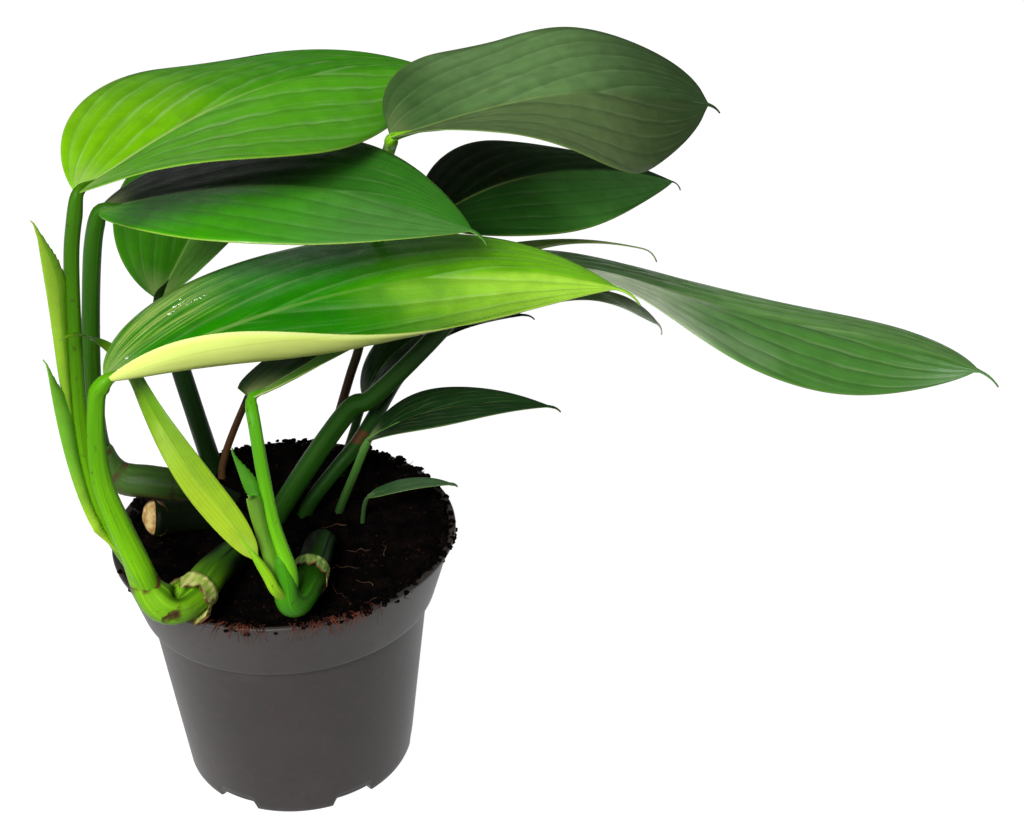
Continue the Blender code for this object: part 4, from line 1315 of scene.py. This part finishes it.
def add_soil():
    surface = []
    for ring in range(SOIL_RINGS + 1):
        share = 1 - ring / (SOIL_RINGS + 1)
        for k in range(SOIL_SIDES):
            x, y = polar(share * RIM_RADIUS, 2 * math.pi * k / SOIL_SIDES)
            height = soil_height(x * 0.95, y * 0.95)
            shrink = (inner_wall_radius(height) - 0.2 * MM) / RIM_RADIUS
            surface.append((x * shrink, y * shrink, height))
    bottom = [(x * 0.97, y * 0.97, height - 8 * MM) for x, y, height in surface[:SOIL_SIDES]]
    faces = tube_faces(SOIL_RINGS + 2, SOIL_SIDES)
    skin = soil_mix("soil_surface", (15, 9, 7))
    add_piece("potting_soil", bottom + surface, faces, [skin], "potting_soil")


def ball():
    """Corners and faces of a twelve-cornered ball."""
    golden = (1 + math.sqrt(5)) / 2
    flat = [(a, b * golden, 0.0) for a in (-1, 1) for b in (-1, 1)]
    corners = flat + [(0.0, x, y) for x, y, _ in flat] + [(y, 0.0, x) for x, y, _ in flat]
    corners = [Vector(corner) for corner in corners]
    faces = []
    for i, j, k in itertools.combinations(range(len(corners)), 3):
        a, b, c = corners[i], corners[j], corners[k]
        if max((a - b).length, (b - c).length, (a - c).length) < 2.1:
            outward = (b - a).cross(c - a).dot(a + b + c) > 0
            faces.append((i, j, k) if outward else (i, k, j))
    return corners, faces


def crumb(centre, size, rng, corners):
    """Points of one rough crumb: a flattened ball with each corner pushed in or out."""
    turn = Euler([rng.uniform(0, 6.3) for _ in range(3)]).to_matrix()
    points = []
    for corner in corners:
        out = turn @ corner.normalized() * size * rng.uniform(0.65, 1.15)
        out.z *= 0.7
        points.append(centre + out)
    return points


def rim_crumb(rng, angle, spread, inward, rise, size):
    """Centre and size of a crumb near the rim, from ranges in millimetres."""
    x, y = polar(1, math.radians(rng.gauss(angle, spread)))
    radius = RIM_RADIUS - rng.uniform(*inward) * MM
    z = POT_HEIGHT + rng.uniform(*rise) * MM
    return Vector((radius * x, radius * y, z)), rng.uniform(*size) * MM


def add_crumbs():
    """Crumbs all over the soil, along the rim and round the coir."""
    rng = random.Random(11)
    places = []
    for _ in range(CRUMB_COUNT):
        angle = rng.uniform(0, 2 * math.pi)
        x, y = polar((RIM_RADIUS - 3.6 * MM) * math.sqrt(rng.random()), angle)
        places.append((on_soil(x, y), rng.uniform(0.35, 1.3) * MM))
    for _ in range(RIM_CRUMB_COUNT):
        places.append(rim_crumb(rng, 52, 75, (0.4, 5.5), (-2.5, 1.1), (0.5, 1.7)))
    for angle in COIR_ANGLES:
        for _ in range(COIR_CRUMB_COUNT):
            places.append(rim_crumb(rng, angle, 3.5, (-0.4, 5.0), (-1.5, 0.7), (0.4, 1.2)))
    rng = random.Random(5)
    corners, faces = ball()
    crumbs = [(crumb(centre, size, rng, corners), faces) for centre, size in places]
    add_many("soil_crumbs", crumbs, soil_mix("soil_crumbs_mix", (13.5, 8.1, 6.3)), smooth=False)


def thread(route, radius, sides=5):
    """Points and faces of one thin fibre, which gets thinner to its end."""
    path = np.array([tuple(point) for point in route])
    widths = radius * np.linspace(1.0, 0.35, len(path))
    return tube_rings(path, widths, sides).reshape(-1, 3), tube_faces(len(path), sides)


def coir_route(rng, tuft_angle):
    """One fibre from the soil over the rim and down the outside."""
    angle = math.radians(rng.gauss(tuft_angle, 4.0))
    fall = rng.uniform(0.5, 5.5)
    bend = rng.uniform(-0.06, 0.06)
    places = ((-5, -2.2), (-2.5, 0.2), (0.1, 0.6), (0.9, -fall * 0.5), (rng.uniform(0.5, 1.6), -fall))
    route = []
    for step, (out, up) in enumerate(places):
        x, y = polar(RIM_RADIUS + out * MM, angle + bend * step * 0.4)
        route.append((x, y, POT_HEIGHT + (up + rng.uniform(-0.2, 0.3)) * MM))
    return route


def standing_route(rng):
    """One fibre that stands up at the back of the rim."""
    angle = math.radians(rng.uniform(25, 165))
    x, y = polar(RIM_RADIUS - rng.uniform(0.5, 5.0) * MM, angle)
    start = Vector((x, y, POT_HEIGHT - 1.5 * MM))
    lean = Vector((rng.uniform(-1, 1), rng.uniform(-1, 1), rng.uniform(0.3, 1.0)))
    lean *= rng.uniform(1.5, 4.0) * MM
    return [start, start + lean * 0.6, start + lean - Vector((0, 0, 0.4 * MM))]


def root_route(rng):
    """One root strand that winds over the soil."""
    angle = math.radians(rng.uniform(-80, 40))
    x, y = polar(rng.uniform(0.35, 0.92) * RIM_RADIUS, angle)
    heading = rng.uniform(0, 2 * math.pi)
    route = []
    for _ in range(ROOT_POINTS):
        route.append(on_soil(x, y) + Vector((0, 0, rng.uniform(0.2, 1.3) * MM)))
        heading += rng.uniform(-0.6, 0.6)
        step_x, step_y = polar(rng.uniform(0.8, 2.0) * MM, heading)
        x += step_x
        y += step_y
    return route


def add_fibres():
    """Coir over the rim and standing up at the back, and a few tan root strands on the soil."""
    rng = random.Random(23)
    coir = [coir_route(rng, angle) for angle in COIR_ANGLES for _ in range(COIR_COUNT)]
    coir += [standing_route(rng) for _ in range(STANDING_COUNT)]
    roots = [root_route(rng) for _ in range(ROOT_COUNT)]
    coir = [thread(route, 0.16 * MM) for route in coir]
    roots = [thread(route, 0.2 * MM) for route in roots]
    add_many("coir_fibres", coir, fibre_skin("coir", (104, 52, 34), (52, 24, 18)))
    add_many("root_fibres", roots, fibre_skin("root_strands", (88, 60, 40), (48, 32, 22)))


# ---------------------------------------------------------------- the whole plant


def add_stems():
    stems = {}
    for name, spec in STEMS.items():
        node = "stem_" + name
        skin = stalk_skin(node, STEM_COLOURS[name], 0.45, STEM_TURNS.get(name, USUAL_TURN))
        rounded = 0.0 if name == "cut_stub" else STEM_ROUNDING
        stems[name] = add_tube(node, spec, CAD_STEM_SIDES, skin, STEM_SIDES, rounded=rounded,
                               trough=TROUGHS.get(name))
    return stems


def add_blades():
    """The open blades with the drops on the front one, and the young blade. It gives their joints."""
    joints = {}
    for name, spec in BLADES.items():
        skins = leaf_skins("leaf_" + name, LEAF_COLOURS[name], LEAF_LOOKS[name])
        steps = LARGE_BLADE_STEPS if spec["width"] > LARGE_BLADE_WIDTH else SMALL_BLADE_STEPS
        grid, joints[name] = add_blade("blade_" + name, spec, skins, CAD_BLADE_THICKNESS, steps, SOFTNESS,
                                       VEIN_RELIEF * RELIEF.get(name, 1.0), RIB_DEPTH)
        if name == "front":
            add_drops(grid)
    node = "blade_young"
    skins = leaf_skins("leaf_young", LEAF_COLOURS[node], LEAF_LOOKS[node])
    _, joints["young"] = add_blade(node, NARROW_BLADES[node], skins, CAD_NARROW_THICKNESS,
                                   YOUNG_BLADE_STEPS, YOUNG_SOFTNESS, 0.2 * MM, 0.3 * MM)
    return joints


def add_stalks(stems, joints):
    stalks = {}
    for name, spec in STALKS.items():
        node = "stalk_" + name
        stem, flare = STALK_ROOTS.get(name, (None, 0.0))
        root = stems[stem][0] if stem else None
        skin = stalk_skin(node, STALK_COLOURS[name], 0.38)
        stalks[name] = add_tube(node, spec, CAD_STALK_SIDES, skin, STALK_SIDES, root, joints[name], flare,
                                STALK_GROOVE)
    return stalks


def add_plant():
    add_pot()
    add_soil()
    add_crumbs()
    add_fibres()
    stems = add_stems()
    stalks = add_stalks(stems, add_blades())
    for node, (stalk, pull, taper, free_from) in SHEATHS.items():
        add_sheath(node, stalks[stalk], pull, taper, free_from)
    cream = collar_skin("collar_cream", (226, 222, 140), (150, 180, 60))
    green = collar_skin("collar_green", (190, 206, 110), (90, 140, 50))
    add_collar("collar_front_left", stems["front_left"], 0.47, 11 * MM, cream, 2.0, 0.3)
    add_collar("collar_front_right", stems["front_right"], 0.5, 9 * MM, green, 7.0, 0.16)
    add_callus("callus_cut_stub", stems["cut_stub"], (-0.6, -0.85, 0.35))


# ---------------------------------------------------------------- floor, light and camera


def add_floor(white):
    corners = [(x * FLOOR_HALF_SIZE, y * FLOOR_HALF_SIZE, 0) for x, y in ((-1, -1), (1, -1), (1, 1), (-1, 1))]
    floor = add_object("floor", new_mesh("floor", corners, [(0, 1, 2, 3)], [white]))
    floor.visible_diffuse = False


def add_backdrop(white):
    """A white dome round the floor, which is seen but neither lights the plant nor shades it."""
    points = []
    for ring in range(DOME_RINGS + 1):
        tilt = math.pi / 2 * ring / (DOME_RINGS + 0.5)
        for k in range(DOME_SIDES):
            x, y = polar(DOME_RADIUS * math.cos(tilt), 2 * math.pi * k / DOME_SIDES)
            points.append((x, y, DOME_RADIUS * math.sin(tilt)))
    top = tuple(range(DOME_RINGS * DOME_SIDES, len(points)))
    faces = ring_faces(DOME_RINGS + 1, DOME_SIDES) + [top]
    backdrop = add_object("backdrop", new_mesh("backdrop", points, faces, [white]))
    backdrop.visible_diffuse = False
    backdrop.visible_glossy = False
    backdrop.visible_shadow = False


def add_light(name, direction, distance, size, power, target, only_gloss=False, only_diffuse=False):
    """A square soft light at a distance from the target, which it faces."""
    light = bpy.data.lights.new(name, "AREA")
    light.shape = "SQUARE"
    light.size = size
    light.energy = power
    lamp = add_object(name, light)
    toward = Vector(direction).normalized()
    lamp.location = target + toward * distance
    lamp.rotation_euler = toward.to_track_quat("Z", "Y").to_euler()
    lamp.visible_diffuse = not only_gloss
    lamp.visible_glossy = not only_diffuse


def add_lights(target):
    world = bpy.data.worlds.new("studio")
    world.use_nodes = True
    background = world.node_tree.nodes["Background"]
    background.inputs["Color"].default_value = (1, 1, 1, 1)
    background.inputs["Strength"].default_value = WORLD_STRENGTH
    bpy.context.scene.world = world
    add_light("key", (-0.3, -1.0, 0.75), 1.1, 0.3, 12.0, target)
    add_light("fill", (-0.8, -0.8, 0.3), 1.2, 0.9, 2.8, target)
    add_light("back", (0.5, 0.9, 0.5), 1.3, 0.9, 4.5, target, only_diffuse=True)
    add_light("sheen", (-0.34, 0.83, 0.45), 1.3, 0.5, 0.3, target, only_gloss=True)


def add_camera(target):
    """A camera that looks along +Y and down, from beside and below the line to the target."""
    tilt = math.radians(CAMERA_ELEVATION)
    back = Vector((0, -math.cos(tilt), math.sin(tilt)))
    up = Vector((0, math.sin(tilt), math.cos(tilt)))
    data = bpy.data.cameras.new("camera")
    data.lens = CAMERA_LENS
    data.clip_start = 0.01
    camera = add_object("camera", data)
    camera.location = target + back * CAMERA_DISTANCE + up * CAMERA_RISE + Vector((CAMERA_SIDE, 0, 0))
    camera.rotation_euler = (math.pi / 2 - tilt, 0, 0)
    bpy.context.scene.camera = camera


add_plant()
white = studio_white()
add_floor(white)
add_backdrop(white)
target = (cad_low + cad_high) / 2
add_lights(target)
add_camera(target)
bpy.context.scene.view_settings.view_transform = "Standard"
